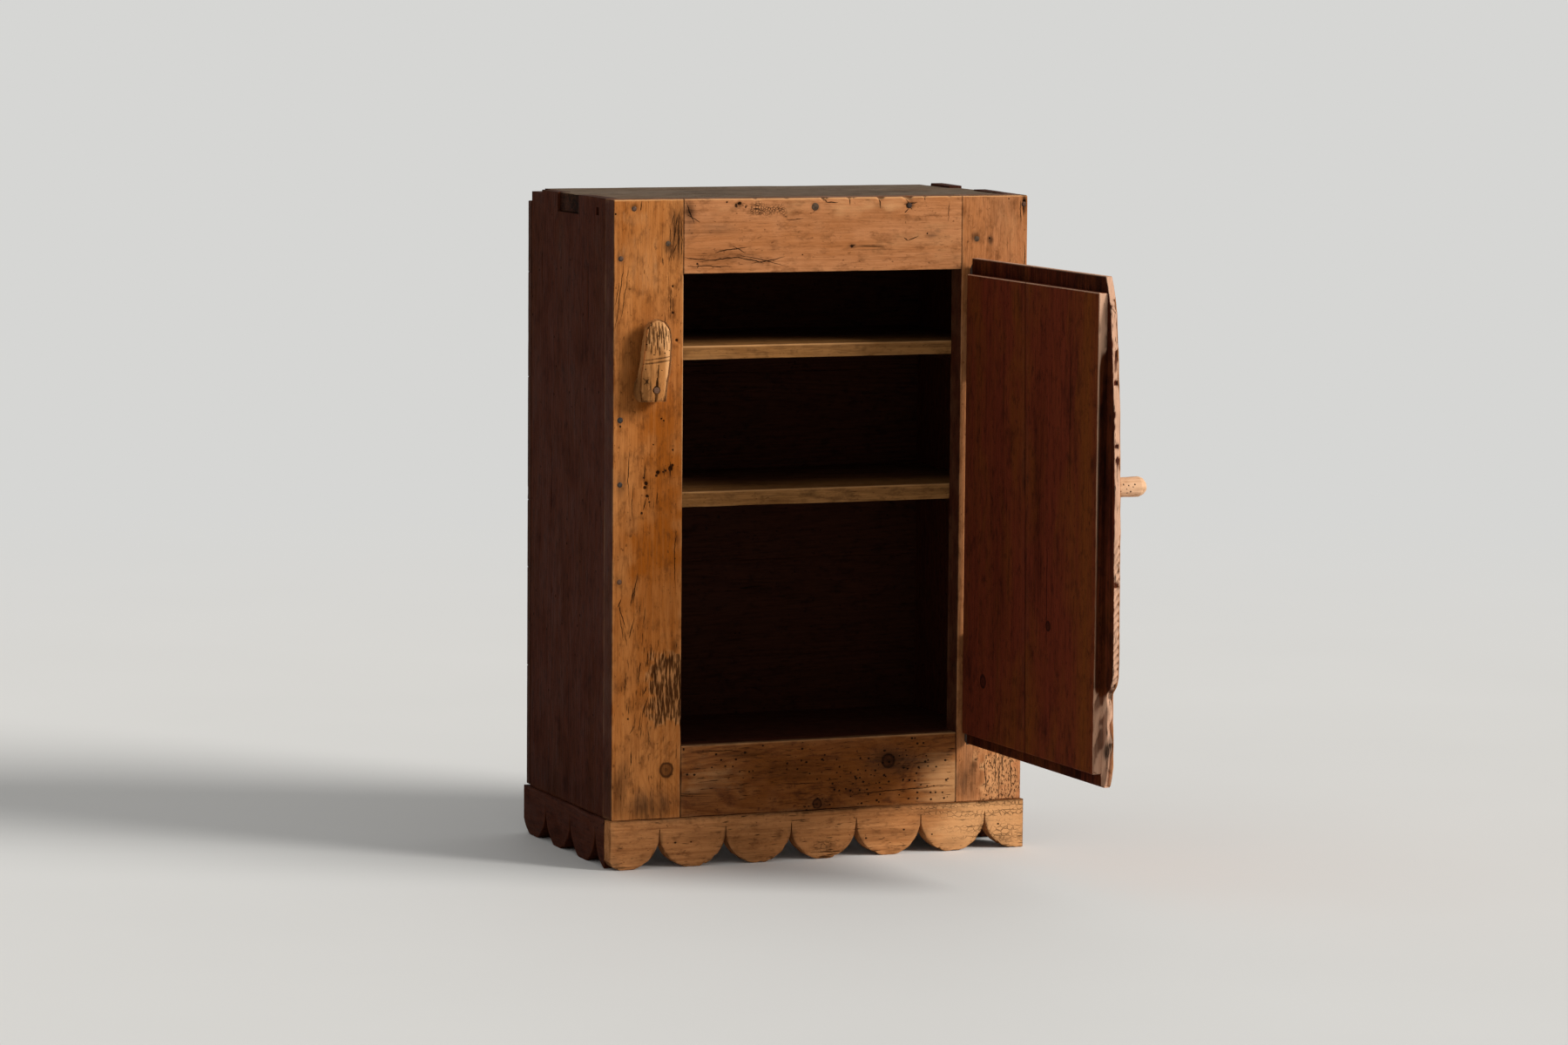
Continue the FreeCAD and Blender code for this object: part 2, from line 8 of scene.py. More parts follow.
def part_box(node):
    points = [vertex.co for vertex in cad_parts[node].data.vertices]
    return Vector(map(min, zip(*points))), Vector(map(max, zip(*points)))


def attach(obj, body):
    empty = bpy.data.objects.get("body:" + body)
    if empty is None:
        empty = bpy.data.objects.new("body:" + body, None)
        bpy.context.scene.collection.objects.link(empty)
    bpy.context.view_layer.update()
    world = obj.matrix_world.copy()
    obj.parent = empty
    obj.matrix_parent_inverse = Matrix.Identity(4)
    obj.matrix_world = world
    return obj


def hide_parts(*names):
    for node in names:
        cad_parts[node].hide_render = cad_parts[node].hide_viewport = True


# The looks of an old pine cupboard: hand-planed boards with worn arrises, a lipped door with the
# tree's own edge, a whittled knob and turn button, and a scalloped plinth.
# Boards are shaped in millimetres, in the cupboard's own frame, and become meshes in metres.

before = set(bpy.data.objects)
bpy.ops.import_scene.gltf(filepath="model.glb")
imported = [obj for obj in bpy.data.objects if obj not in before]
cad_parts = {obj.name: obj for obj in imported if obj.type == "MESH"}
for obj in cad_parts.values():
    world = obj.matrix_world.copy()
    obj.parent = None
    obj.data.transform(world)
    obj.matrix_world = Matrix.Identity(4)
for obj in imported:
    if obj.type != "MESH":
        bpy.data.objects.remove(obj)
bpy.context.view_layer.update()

MM = 0.001
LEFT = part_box("left_stile")[0].x / MM
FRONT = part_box("left_stile")[0].y / MM
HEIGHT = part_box("left_stile")[1].z / MM


def extent(node):
    """Lowest and highest corner of a CAD node, in millimetres."""
    low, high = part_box(node)
    return np.array(low) / MM, np.array(high) / MM


# Roughness of nature: value noise that is the same on every run

def hashed(cell, seed):
    """A number from 0 to 1 for each whole-number cell."""
    mixed = cell[..., 0] * 73856093 ^ cell[..., 1] * 19349663 ^ cell[..., 2] * 83492791 ^ (seed + 11) * 7919
    mixed = (mixed ^ (mixed >> 13)) * 1274126177 & 0x7FFFFFFF
    mixed = (mixed ^ (mixed >> 15)) * 668265263 & 0x7FFFFFFF
    return ((mixed ^ (mixed >> 12)) & 0xFFFFFF) / 0xFFFFFF


def noise(points, size, seed=0):
    """Smooth noise from 0 to 1 that changes over size, one number or one for each axis."""
    spot = points / np.array(size, float)
    cell = np.floor(spot).astype(np.int64)
    part = spot - cell
    part = part * part * (3 - 2 * part)
    total = 0
    for corner in range(8):
        step = np.array([corner & 1, corner >> 1 & 1, corner >> 2 & 1])
        share = np.prod(np.where(step, part, 1 - part), axis=-1)
        total = total + share * hashed(cell + step, seed)
    return total


def smooth(low, high, value):
    """Eases from 0 at low to 1 at high, whichever of the two is the larger."""
    share = np.clip((value - low) / (high - low), 0, 1)
    return share * share * (3 - 2 * share)


# Boards as the skin of a block of cells

FACES = {
    "front": (1, -1, 0, 2), "back": (1, 1, 0, 2), "left": (0, -1, 1, 2), "right": (0, 1, 1, 2),
    "top": (2, 1, 0, 1), "bottom": (2, -1, 0, 1),
}
MARKS = ("dirt_and_shade", "grey", "amber", "pale", "worm", "torn", "crazed", "shade_swap")
CLOSE = (0.9, 2.2, 4.5, 8.0)


def cuts(low, high, step, extra=(), close=CLOSE):
    """Where the cells end along one axis: close together beside each edge, then step apart."""
    marks = sorted({float(low), float(high), *map(float, extra)})
    places = []
    for start, end in zip(marks, marks[1:]):
        inner = [c for c in close if c < (end - start) / 2 - 0.3]
        first = start + (inner[-1] if inner else 0)
        last = end - (inner[-1] if inner else 0)
        count = max(1, round((last - first) / step))
        between = list(np.linspace(first, last, count + 1))[1:-1]
        places += [start] + [start + c for c in inner] + between + [end - c for c in reversed(inner)]
    return np.array(places + [marks[-1]])


def skin(xs, ys, zs, solid=None):
    """Points, outward quads and rough normals of the outside of the solid cells."""
    sizes = (len(xs) - 1, len(ys) - 1, len(zs) - 1)
    filled = np.zeros([size + 2 for size in sizes], bool)
    middles = [(line[1:] + line[:-1]) / 2 for line in (xs, ys, zs)]
    inside = True if solid is None else solid(middles[0][:, None, None], middles[1][None, :, None],
                                              middles[2][None, None, :])
    filled[1:-1, 1:-1, 1:-1] = inside
    core = filled[1:-1, 1:-1, 1:-1]
    strides = np.array([(sizes[1] + 1) * (sizes[2] + 1), sizes[2] + 1, 1])
    quads = []
    ways = []
    for axis in range(3):
        for side in (0, 1):
            beside = np.roll(filled, -1 if side else 1, axis=axis)[1:-1, 1:-1, 1:-1]
            cells = np.argwhere(core & ~beside)
            cells[:, axis] += side
            one, two = (axis + 1) % 3, (axis + 2) % 3
            ring = [(0, 0), (1, 0), (1, 1), (0, 1)]
            if not side:
                ring.reverse()
            base = cells @ strides
            quads.append(np.stack([base + a * strides[one] + b * strides[two] for a, b in ring], 1))
            way = np.zeros((len(cells), 3))
            way[:, axis] = 1 if side else -1
            ways.append(way)
    quads = np.concatenate(quads)
    ways = np.concatenate(ways)
    used, quads = np.unique(quads, return_inverse=True)
    quads = quads.reshape(-1, 4)
    points = np.stack([xs[used // strides[0]], ys[used // strides[1] % (sizes[1] + 1)],
                       zs[used % (sizes[2] + 1)]], 1)
    normals = np.zeros_like(points)
    for corner in range(4):
        np.add.at(normals, quads[:, corner], ways)
    normals = np.sign(np.round(normals, 6))
    return points, quads, normals / np.maximum(np.linalg.norm(normals, axis=1), 1e-9)[:, None]


class Board:
    """A board, and what its maker, wear, worms and dirt have done to it."""

    def __init__(self, shell, low, high, seed):
        """shell is the points, quads and normals of its skin, low and high are its corners."""
        self.points, self.quads, self.normals = shell
        self.low, self.high = np.array(low, float), np.array(high, float)
        self.seed = seed
        self.rest = self.points.copy()
        to_planes = np.minimum(self.rest - self.low, self.high - self.rest)
        self.arris = np.exp(-np.sort(to_planes, axis=1)[:, 1] / 3.0)
        self.marks = {name: np.zeros(len(self.points)) for name in MARKS}

    @classmethod
    def sawn(cls, low, high, steps, seed, solid=None, extra=((), (), ()), close=CLOSE):
        """A board sawn square. solid says which of its cells are wood, extra where more cells end."""
        lines = [cuts(a, b, step, more, close) for a, b, step, more in zip(low, high, steps, extra)]
        return cls(skin(*lines, solid), low, high, seed)

    def unrubbed(self):
        """A board that no hand reaches keeps dull arrises."""
        self.arris = self.arris * 0

    def noise(self, size, seed=0):
        return noise(self.rest + 1000, size, self.seed * 31 + seed)

    def ease(self, radius, ragged):
        """Round the arrises, and knock some of them further back."""
        knocked = smooth(0.6, 0.95, self.noise(44, 1)) * ragged + self.noise(12, 2) * radius * 0.5
        r = (radius + knocked)[:, None]
        core = np.clip(self.points, self.low + r, self.high - r)
        out = self.points - core
        reach = np.linalg.norm(out, axis=1)[:, None]
        eased = core + out / np.maximum(reach, 1e-9) * r
        self.points = np.where(reach > r + 1e-6, eased, self.points)
        on_skin = reach[:, 0] >= r[:, 0] - 1e-6
        self.normals = np.where(on_skin[:, None], out / np.maximum(reach, 1e-9), self.normals)

    def plane(self, along, depth=0.35, scallop=34.0):
        """The shallow hollows that a hand plane leaves, long along the grain."""
        size = [scallop] * 3
        size[along] = scallop * 7
        fine = [8.0] * 3
        fine[along] = 45.0
        coarse = [15.0] * 3
        coarse[along] = 70.0
        broad = np.abs(self.normals[:, (self.high - self.low).argmin()]) > 0.6
        waves = self.noise(size, 3) + 0.8 * self.noise(coarse, 9) + 0.7 * self.noise(fine, 4)
        self.sink(broad * depth * waves)

    def sink(self, amount):
        """Push the surface in by an amount, one for all points or one for each."""
        self.points = self.points - self.normals * np.asarray(amount)[..., None]

    def stain(self, name, amount):
        """Strengthen one kind of mark, up to 1."""
        self.marks[name] = np.clip(self.marks[name] + amount, 0, 1)

    def wash(self, name, strength, low, high, soft):
        """Stain a rectangle of the front, from the left and the floor."""
        self.stain(name, strength * self.patch("front", low, high, soft))

    def on(self, face):
        """1 on that face, 0 elsewhere, and the two coordinates across it, from the left and the floor."""
        axis, sign, first, second = FACES[face]
        facing = (self.normals[:, axis] * sign > 0.5).astype(float)
        across = self.rest[:, first] - (LEFT if first == 0 else FRONT)
        up = self.rest[:, second] - (FRONT if second == 1 else 0)
        return facing, across, up

    def spot(self, face, at, size, ragged, grain=7.0):
        """How near each point of a face is to a place: 1 at the place and 0 at size away."""
        facing, across, up = self.on(face)
        a, b = size if isinstance(size, tuple) else (size, size)
        away = np.hypot((across - at[0]) / a, (up - at[1]) / b)
        away = away * (1 + ragged * (self.noise(grain, 5) * 2 - 1))
        return facing * np.clip(1 - away, 0, 1)

    def patch(self, face, low, high, soft, ragged=0.3, grain=18.0):
        """1 inside a rectangle on a face, falling off over soft beyond its ragged edge."""
        facing, across, up = self.on(face)
        beside = np.maximum(low[0] - across, across - high[0])
        out = np.maximum(beside, np.maximum(low[1] - up, up - high[1]))
        out = out + soft * ragged * (self.noise(grain, 6) * 2 - 1)
        return facing * (1 - smooth(-soft / 2, soft / 2, out))

    def gash(self, face, start, end, width, wander):
        """1 along a line on a face, falling to 0 at width from it, and thinner at the ends."""
        facing, across, up = self.on(face)
        line = np.array(end, float) - start
        length = np.hypot(*line)
        share = ((across - start[0]) * line[0] + (up - start[1]) * line[1]) / length ** 2
        side = ((up - start[1]) * line[0] - (across - start[0]) * line[1]) / length
        side = side + wander * (self.noise(22, 7) * 2 - 1)
        thin = width * np.sqrt(np.clip(4 * share * (1 - share), 0, 1))
        return facing * np.clip(1 - np.abs(side) / np.maximum(thin, 1e-6), 0, 1)


def new_object(name, data):
    """An object in the scene, at the origin."""
    made = bpy.data.objects.new(name, data)
    bpy.context.scene.collection.objects.link(made)
    return made


def shaped_mesh(piece):
    """The plain mesh that a piece's modifiers make. The piece itself is removed."""
    bpy.context.view_layer.update()
    mesh = bpy.data.meshes.new_from_object(piece.evaluated_get(bpy.context.evaluated_depsgraph_get()))
    bpy.data.objects.remove(piece)
    return mesh


def raise_mesh(name, points, faces, smooth_faces=True):
    """A mesh object in metres from points in millimetres and quads."""
    mesh = bpy.data.meshes.new(name)
    if isinstance(faces, np.ndarray):
        mesh.vertices.add(len(points))
        mesh.vertices.foreach_set("co", (points * MM).astype(np.float32).ravel())
        mesh.loops.add(faces.size)
        mesh.loops.foreach_set("vertex_index", faces.astype(np.int32).ravel())
        mesh.polygons.add(len(faces))
        mesh.polygons.foreach_set("loop_start", np.arange(0, faces.size, faces.shape[1], dtype=np.int32))
        mesh.update(calc_edges=True)
    else:
        mesh.from_pydata((np.asarray(points) * MM).tolist(), [], faces)
    mesh.validate()
    mesh.polygons.foreach_set("use_smooth", [smooth_faces] * len(mesh.polygons))
    return new_object(name, mesh)


def attribute(piece, name, values):
    """Give each point of a piece its own number, or its own vector, for the materials to read."""
    values = np.asarray(values, np.float32)
    kind = "FLOAT_VECTOR" if values.ndim == 2 else "FLOAT"
    layer = piece.data.attributes.new(name, kind, "POINT")
    layer.data.foreach_set("vector" if values.ndim == 2 else "value", values.ravel())


def grained(points, along, across, seed):
    """Across, through and along the grain in metres, shifted so that no two boards look the same."""
    through = 3 - along - across
    place = points[:, [across, through, along]] * MM
    shift = np.random.default_rng(seed).uniform(0, 1, 3) * (0.0, 0.0, 6.0)
    return place + shift


def turned(points, angle, axis):
    """Points turned about a vertical axis."""
    cos, sin = math.cos(angle), math.sin(angle)
    away = points[:, :2] - axis
    return np.column_stack([axis[0] + away[:, 0] * cos - away[:, 1] * sin,
                            axis[1] + away[:, 0] * sin + away[:, 1] * cos, points[:, 2]])


def finish_piece(piece, material, node, body="cabinet"):
    """Give a piece its material and what it moves with, and hide the CAD node that it stands for."""
    piece.data.materials.clear()
    piece.data.materials.append(material)
    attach(piece, body)
    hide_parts(node)
    return piece


def build(board, name, material, along, across, body="cabinet", place=None):
    """Make the board's mesh with its grain and marks. place moves its points to where it rests."""
    points = board.points if place is None else place(board.points)
    piece = raise_mesh(name + "_worn", points, board.quads)
    middle = (board.low + board.high) / 2
    attribute(piece, "timber", grained(board.rest - middle, along, across, board.seed))
    attribute(piece, "bench", board.rest * MM)
    attribute(piece, "arris", board.arris)
    for mark, values in board.marks.items():
        if values.any():
            attribute(piece, mark, values)
    return finish_piece(piece, material, name, body)


# Materials

class Recipe:
    """A material's nodes, written as one step after another."""

    def __init__(self, name):
        self.material = bpy.data.materials.new(name)
        self.material.use_nodes = True
        self.tree = self.material.node_tree
        self.tree.nodes.clear()
        self.output = self.tree.nodes.new("ShaderNodeOutputMaterial")
        self.shader = self.tree.nodes.new("ShaderNodeBsdfPrincipled")
        self.tree.links.new(self.shader.outputs[0], self.output.inputs["Surface"])

    def node(self, kind, inputs=(), **settings):
        made = self.tree.nodes.new("ShaderNode" + kind)
        for key, value in settings.items():
            setattr(made, key, value)
        for key, value in dict(inputs).items():
            self.feed(made.inputs[key], value)
        return made

    def feed(self, socket, value):
        """Link a socket to another node's output, or set it to a plain value."""
        if isinstance(value, bpy.types.NodeSocket):
            self.tree.links.new(value, socket)
        elif value is not None:
            socket.default_value = value

    def read(self, name, vector=False):
        """What a piece has stored in its attribute of that name."""
        found = self.node("Attribute", attribute_name=name)
        return found.outputs["Vector" if vector else "Fac"]

    def math(self, operation, *values):
        return self.node("Math", dict(enumerate(values)), operation=operation).outputs[0]

    def vector(self, operation, *values):
        made = self.node("VectorMath", operation=operation)
        for socket, value in zip(made.inputs, values):
            self.feed(socket, value)
        return made.outputs["Value" if operation in ("LENGTH", "DISTANCE", "DOT_PRODUCT") else "Vector"]

    def stretch(self, place, *scale):
        return self.vector("MULTIPLY", place, scale)

    def noise(self, place, detail=2.0, rough=0.5, distortion=0.0, colour=False):
        inputs = {"Vector": place, "Scale": 1.0, "Detail": detail, "Roughness": rough,
                  "Distortion": distortion}
        return self.node("TexNoise", inputs).outputs["Color" if colour else "Fac"]

    def shake(self, place, scale, detail):
        """Noise as a vector, each part from -0.5 to 0.5."""
        cloud = self.noise(self.stretch(place, *scale), detail, colour=True)
        return self.vector("SUBTRACT", cloud, (0.5, 0.5, 0.5))

    def cells(self, place, feature="F1", dimensions="3D"):
        inputs = {"Vector": place, "Scale": 1.0}
        return self.node("TexVoronoi", inputs, feature=feature, voronoi_dimensions=dimensions)

    def between(self, value, low, high, start=0.0, end=1.0):
        """Eases from start to end as value goes from low to high."""
        inputs = {"Value": value, "From Min": low, "From Max": high, "To Min": start, "To Max": end}
        return self.node("MapRange", inputs, interpolation_type="SMOOTHSTEP").outputs[0]

    def mix(self, share, under, over):
        """The colour under, covered by a share of the colour over."""
        made = self.node("Mix", data_type="RGBA", blend_type="MIX")
        self.feed(made.inputs["Factor"], share)
        self.feed(made.inputs[6], under)
        self.feed(made.inputs[7], over)
        return made.outputs[2]

    def times(self, *values):
        product = values[0]
        for value in values[1:]:
            product = self.math("MULTIPLY", product, value)
        return product

    def relief(self, height, depth):
        """Bump from a height in shares of depth, in metres."""
        return self.node("Bump", {"Strength": 1.0, "Distance": depth, "Height": height}).outputs[0]

    def done(self, colour, roughness, normal=None, metallic=0.0, specular=0.4, ior=1.5):
        """Feed the shader and hand over the material."""
        self.feed(self.shader.inputs["Base Color"], colour)
        self.feed(self.shader.inputs["Roughness"], roughness)
        self.feed(self.shader.inputs["Normal"], normal)
        self.shader.inputs["Metallic"].default_value = metallic
        self.shader.inputs["Specular IOR Level"].default_value = specular
        self.shader.inputs["IOR"].default_value = ior
        return self.material


def srgb(red, green, blue):
    """A colour as a designer reads it, 0 to 255, as the shader needs it."""
    linear = [((c / 255 + 0.055) / 1.055) ** 2.4 if c > 10 else c / 255 / 12.92 for c in (red, green, blue)]
    return (*linear, 1.0)


def palette(pale, late, deep, amber):
    """The tones of one wood: early wood, late wood, its darkest streaks and its resin brown."""
    return dict(pale=srgb(*pale), late=srgb(*late), deep=srgb(*deep), amber=srgb(*amber))


PINE = palette((180, 116, 62), (126, 70, 30), (80, 42, 17), (144, 76, 18))
RAIL = palette((184, 124, 81), (138, 84, 46), (88, 51, 26), (156, 93, 46))
FOOT_RAIL = palette((136, 84, 44), (92, 48, 24), (52, 25, 15), (112, 62, 22))
SKIRT = palette((184, 126, 78), (128, 76, 40), (82, 46, 24), (138, 82, 40))
# Sides: darker and redder than the front pine, partly their own tone and partly painted shade
SIDE = palette((74, 36, 23), (50, 23, 16), (28, 13, 10), (66, 33, 16))
# The top's greyness is partly a painted sheen
TOP = palette((118, 102, 86), (84, 68, 54), (48, 37, 31), (102, 76, 52))
INSIDE = palette((72, 38, 24), (48, 25, 16), (28, 14, 10), (60, 31, 18))
SHELF = palette((156, 110, 64), (104, 68, 36), (58, 34, 19), (116, 74, 34))
# Door: its inner face's dark red-brown is partly its own tone and partly painted shade
DOOR = palette((104, 44, 27), (70, 28, 18), (32, 14, 12), (108, 57, 22))
PEG = palette((98, 80, 64), (64, 50, 40), (40, 31, 26), (78, 58, 42))
KNOB = palette((218, 176, 140), (196, 152, 114), (154, 112, 80), (204, 160, 120))
BUTTON = palette((184, 128, 76), (142, 92, 50), (92, 56, 28), (158, 102, 52))

BARE_WOOD = srgb(216, 164, 112)
BARE_SIDE = srgb(124, 74, 46)
BLACK_DIRT = srgb(20, 12, 8)
GREY_STAIN = srgb(62, 46, 36)
BROWN_POLISH = srgb(98, 64, 40)

# From how far in front to how far back the marks of the cupboard's face reach
FACE_DEPTH = (-9999.0, FRONT + 1.5)
# Darkness of the wood through one growth ring: where in the ring, and how dark
RING_TONES = ((0.0, 0.55), (0.1, 0.08), (0.55, 0.2), (0.84, 0.95), (0.95, 1.0), (1.0, 0.55))
# And those of the door's inner face, on the closed door
DOOR_DEPTH = (-201.0, -180.0)


def face_line(r, bench, start, end, width):
    """1 along a crack or scratch from start to end, thinner towards both ends."""
    start, end = (Vector(((x + LEFT) * MM, 0, z * MM)) for x, z in (start, end))
    run = end - start
    from_start = r.vector("SUBTRACT", bench, start)
    share = r.vector("DOT_PRODUCT", from_start, run / run.length_squared)
    share = r.math("MINIMUM", r.math("MAXIMUM", share, 0.0), 1.0)
    nearest = r.node("VectorMath", operation="SCALE")
    nearest.inputs[0].default_value = run
    r.feed(nearest.inputs["Scale"], share)
    away = r.vector("DISTANCE", from_start, nearest.outputs[0])
    belly = r.math("MULTIPLY_ADD", r.times(share, r.math("SUBTRACT", 1.0, share)), width * 2.6 * MM, 0.00015)
    return r.between(r.math("DIVIDE", away, belly), 0.35, 1.0, 1.0, 0.0)


def face_dot(r, bench, at, radius):
    """1 inside a round hole, with a worn rim."""
    away = r.vector("DISTANCE", bench, ((at[0] + LEFT) * MM, 0.0, at[1] * MM))
    return r.between(away, radius * 0.65 * MM, radius * 1.1 * MM, 1.0, 0.0)


def face_smudge(r, bench, at, size, strength):
    """A soft stain: strength at its middle, nothing at size away."""
    scaled = r.stretch(bench, 1000 / size[0], 0, 1000 / size[1])
    away = r.vector("DISTANCE", scaled, ((at[0] + LEFT) / size[0], 0.0, at[1] / size[1]))
    return r.between(away, 0.1, 1.0, strength, 0.0)


def highest(r, values, start=None):
    """The strongest of some marks at each place, or None where there are no marks."""
    for value in values:
        start = value if start is None else r.math("MAXIMUM", start, value)
    return start


def grime_and_shade_colour(deep):
    """The colour of grime and of painted shade in this wood: its darkest tone, nearly black."""
    return tuple(c * 0.28 for c in deep[:3]) + (1.0,)


def face_places(r, marked):
    """Coordinates for the marks on a face: shaken, flat, and flat and drifting. Then 1 within marked."""
    bench = r.read("bench", vector=True)
    shake = r.shake(bench, (130, 130, 130), 2.0)
    drift = r.shake(bench, (28, 28, 28), 1.0)
    bench = r.vector("ADD", bench, r.vector("MULTIPLY", shake, (0.0028, 0.0, 0.0028)))
    depth_in = r.node("SeparateXYZ", {0: bench}).outputs[1]
    before_end = r.math("LESS_THAN", depth_in, marked[1] * MM)
    at_front = r.times(before_end, r.math("GREATER_THAN", depth_in, marked[0] * MM))
    flat = r.stretch(bench, 1, 0, 1)
    drifted = r.vector("ADD", flat, r.vector("MULTIPLY", drift, (0.006, 0.0, 0.006)))
    return bench, flat, drifted, at_front


def grown_knots(r, knots, drifted, at_front, reach):
    """Where the knots are and how dark their rims and rings. The growth rings swell about them."""
    mask = 0.0
    heart = 0.0
    for x, z, size in knots:
        away = r.vector("DISTANCE", drifted, ((x + LEFT) * MM, 0.0, z * MM))
        away = r.math("MULTIPLY", away, 1000 / size)
        swell = r.math("POWER", 2.718, r.math("MULTIPLY", r.math("MULTIPLY", away, away), -0.09))
        reach = r.math("ADD", reach, r.math("MULTIPLY", swell, size * 1.6 * MM))
        own = r.times(r.between(away, 0.8, 1.1, 1.0, 0.0), at_front)
        rim = r.times(r.between(away, 0.62, 0.85), own)
        rings = r.between(r.math("SINE", r.math("MULTIPLY", away, 11.0)), 0.3, 1.0, 0, 0.6)
        mask = r.math("MAXIMUM", mask, own)
        heart = r.math("MAXIMUM", heart, r.math("MAXIMUM", rim, r.times(own, rings)))
    return mask, heart, reach


def growth_rings(r, from_pith, reach, ring):
    """Early wood and late wood by turns, further from the pith with each ring."""
    spacing = r.noise(r.stretch(from_pith, 42, 42, 0), 1.0)
    phase = r.math("ADD", r.math("MULTIPLY", reach, 1 / ring), r.math("MULTIPLY", spacing, 1.6))
    tone = r.node("ValToRGB", {0: r.math("FRACT", phase)})
    ramp = tone.color_ramp
    ramp.elements.remove(ramp.elements[1])
    for position, value in RING_TONES:
        stop = ramp.elements.new(position) if position else ramp.elements[0]
        stop.position = position
        stop.color = (value, value, value, 1)
    return tone.outputs[0]


def drying_cracks(r, place, cracks):
    """Long thin cracks along the grain, in some places only."""
    line = r.math("ABSOLUTE", r.math("SUBTRACT", r.noise(r.stretch(place, 100, 100, 2.1), 2.0), 0.5))
    where = r.noise(r.stretch(place, 15, 15, 3.2), 2.0)
    where = r.between(where, 0.7 - 0.16 * cracks, 0.76 - 0.1 * cracks)
    return r.times(r.between(line, 0.003, 0.011, 1.0, 0.0), where)


def round_hole(r, cells, smallest, spread):
    """1 inside the round hole at the middle of each cell, and the number that says if it is bored."""
    chance = r.node("SeparateColor", {0: cells.outputs["Color"]})
    size = r.math("MULTIPLY_ADD", chance.outputs[1], spread, smallest)
    inside = r.between(r.math("SUBTRACT", cells.outputs["Distance"], size), -0.02, 0.03, 1.0, 0.0)
    return inside, chance.outputs[0]


def worm_holes(r, place, across, along, worms, at_front):
    """Worm holes all through the wood, and round ones on the face where a board is marked."""
    inside, chance = round_hole(r, r.cells(r.stretch(place, 92, 92, 74)), 0.07, 0.1)
    bored = r.math("LESS_THAN", chance, r.math("ADD", r.read("worm"), worms))
    through = r.times(bored, inside)
    on_face = r.node("CombineXYZ", {0: r.math("MULTIPLY", across, 95), 1: r.math("MULTIPLY", along, 80)})
    inside, chance = round_hole(r, r.cells(on_face.outputs[0], dimensions="2D"), 0.09, 0.09)
    open_here = r.times(r.math("LESS_THAN", chance, r.read("worm")), at_front)
    return r.math("MAXIMUM", through, r.times(open_here, inside))


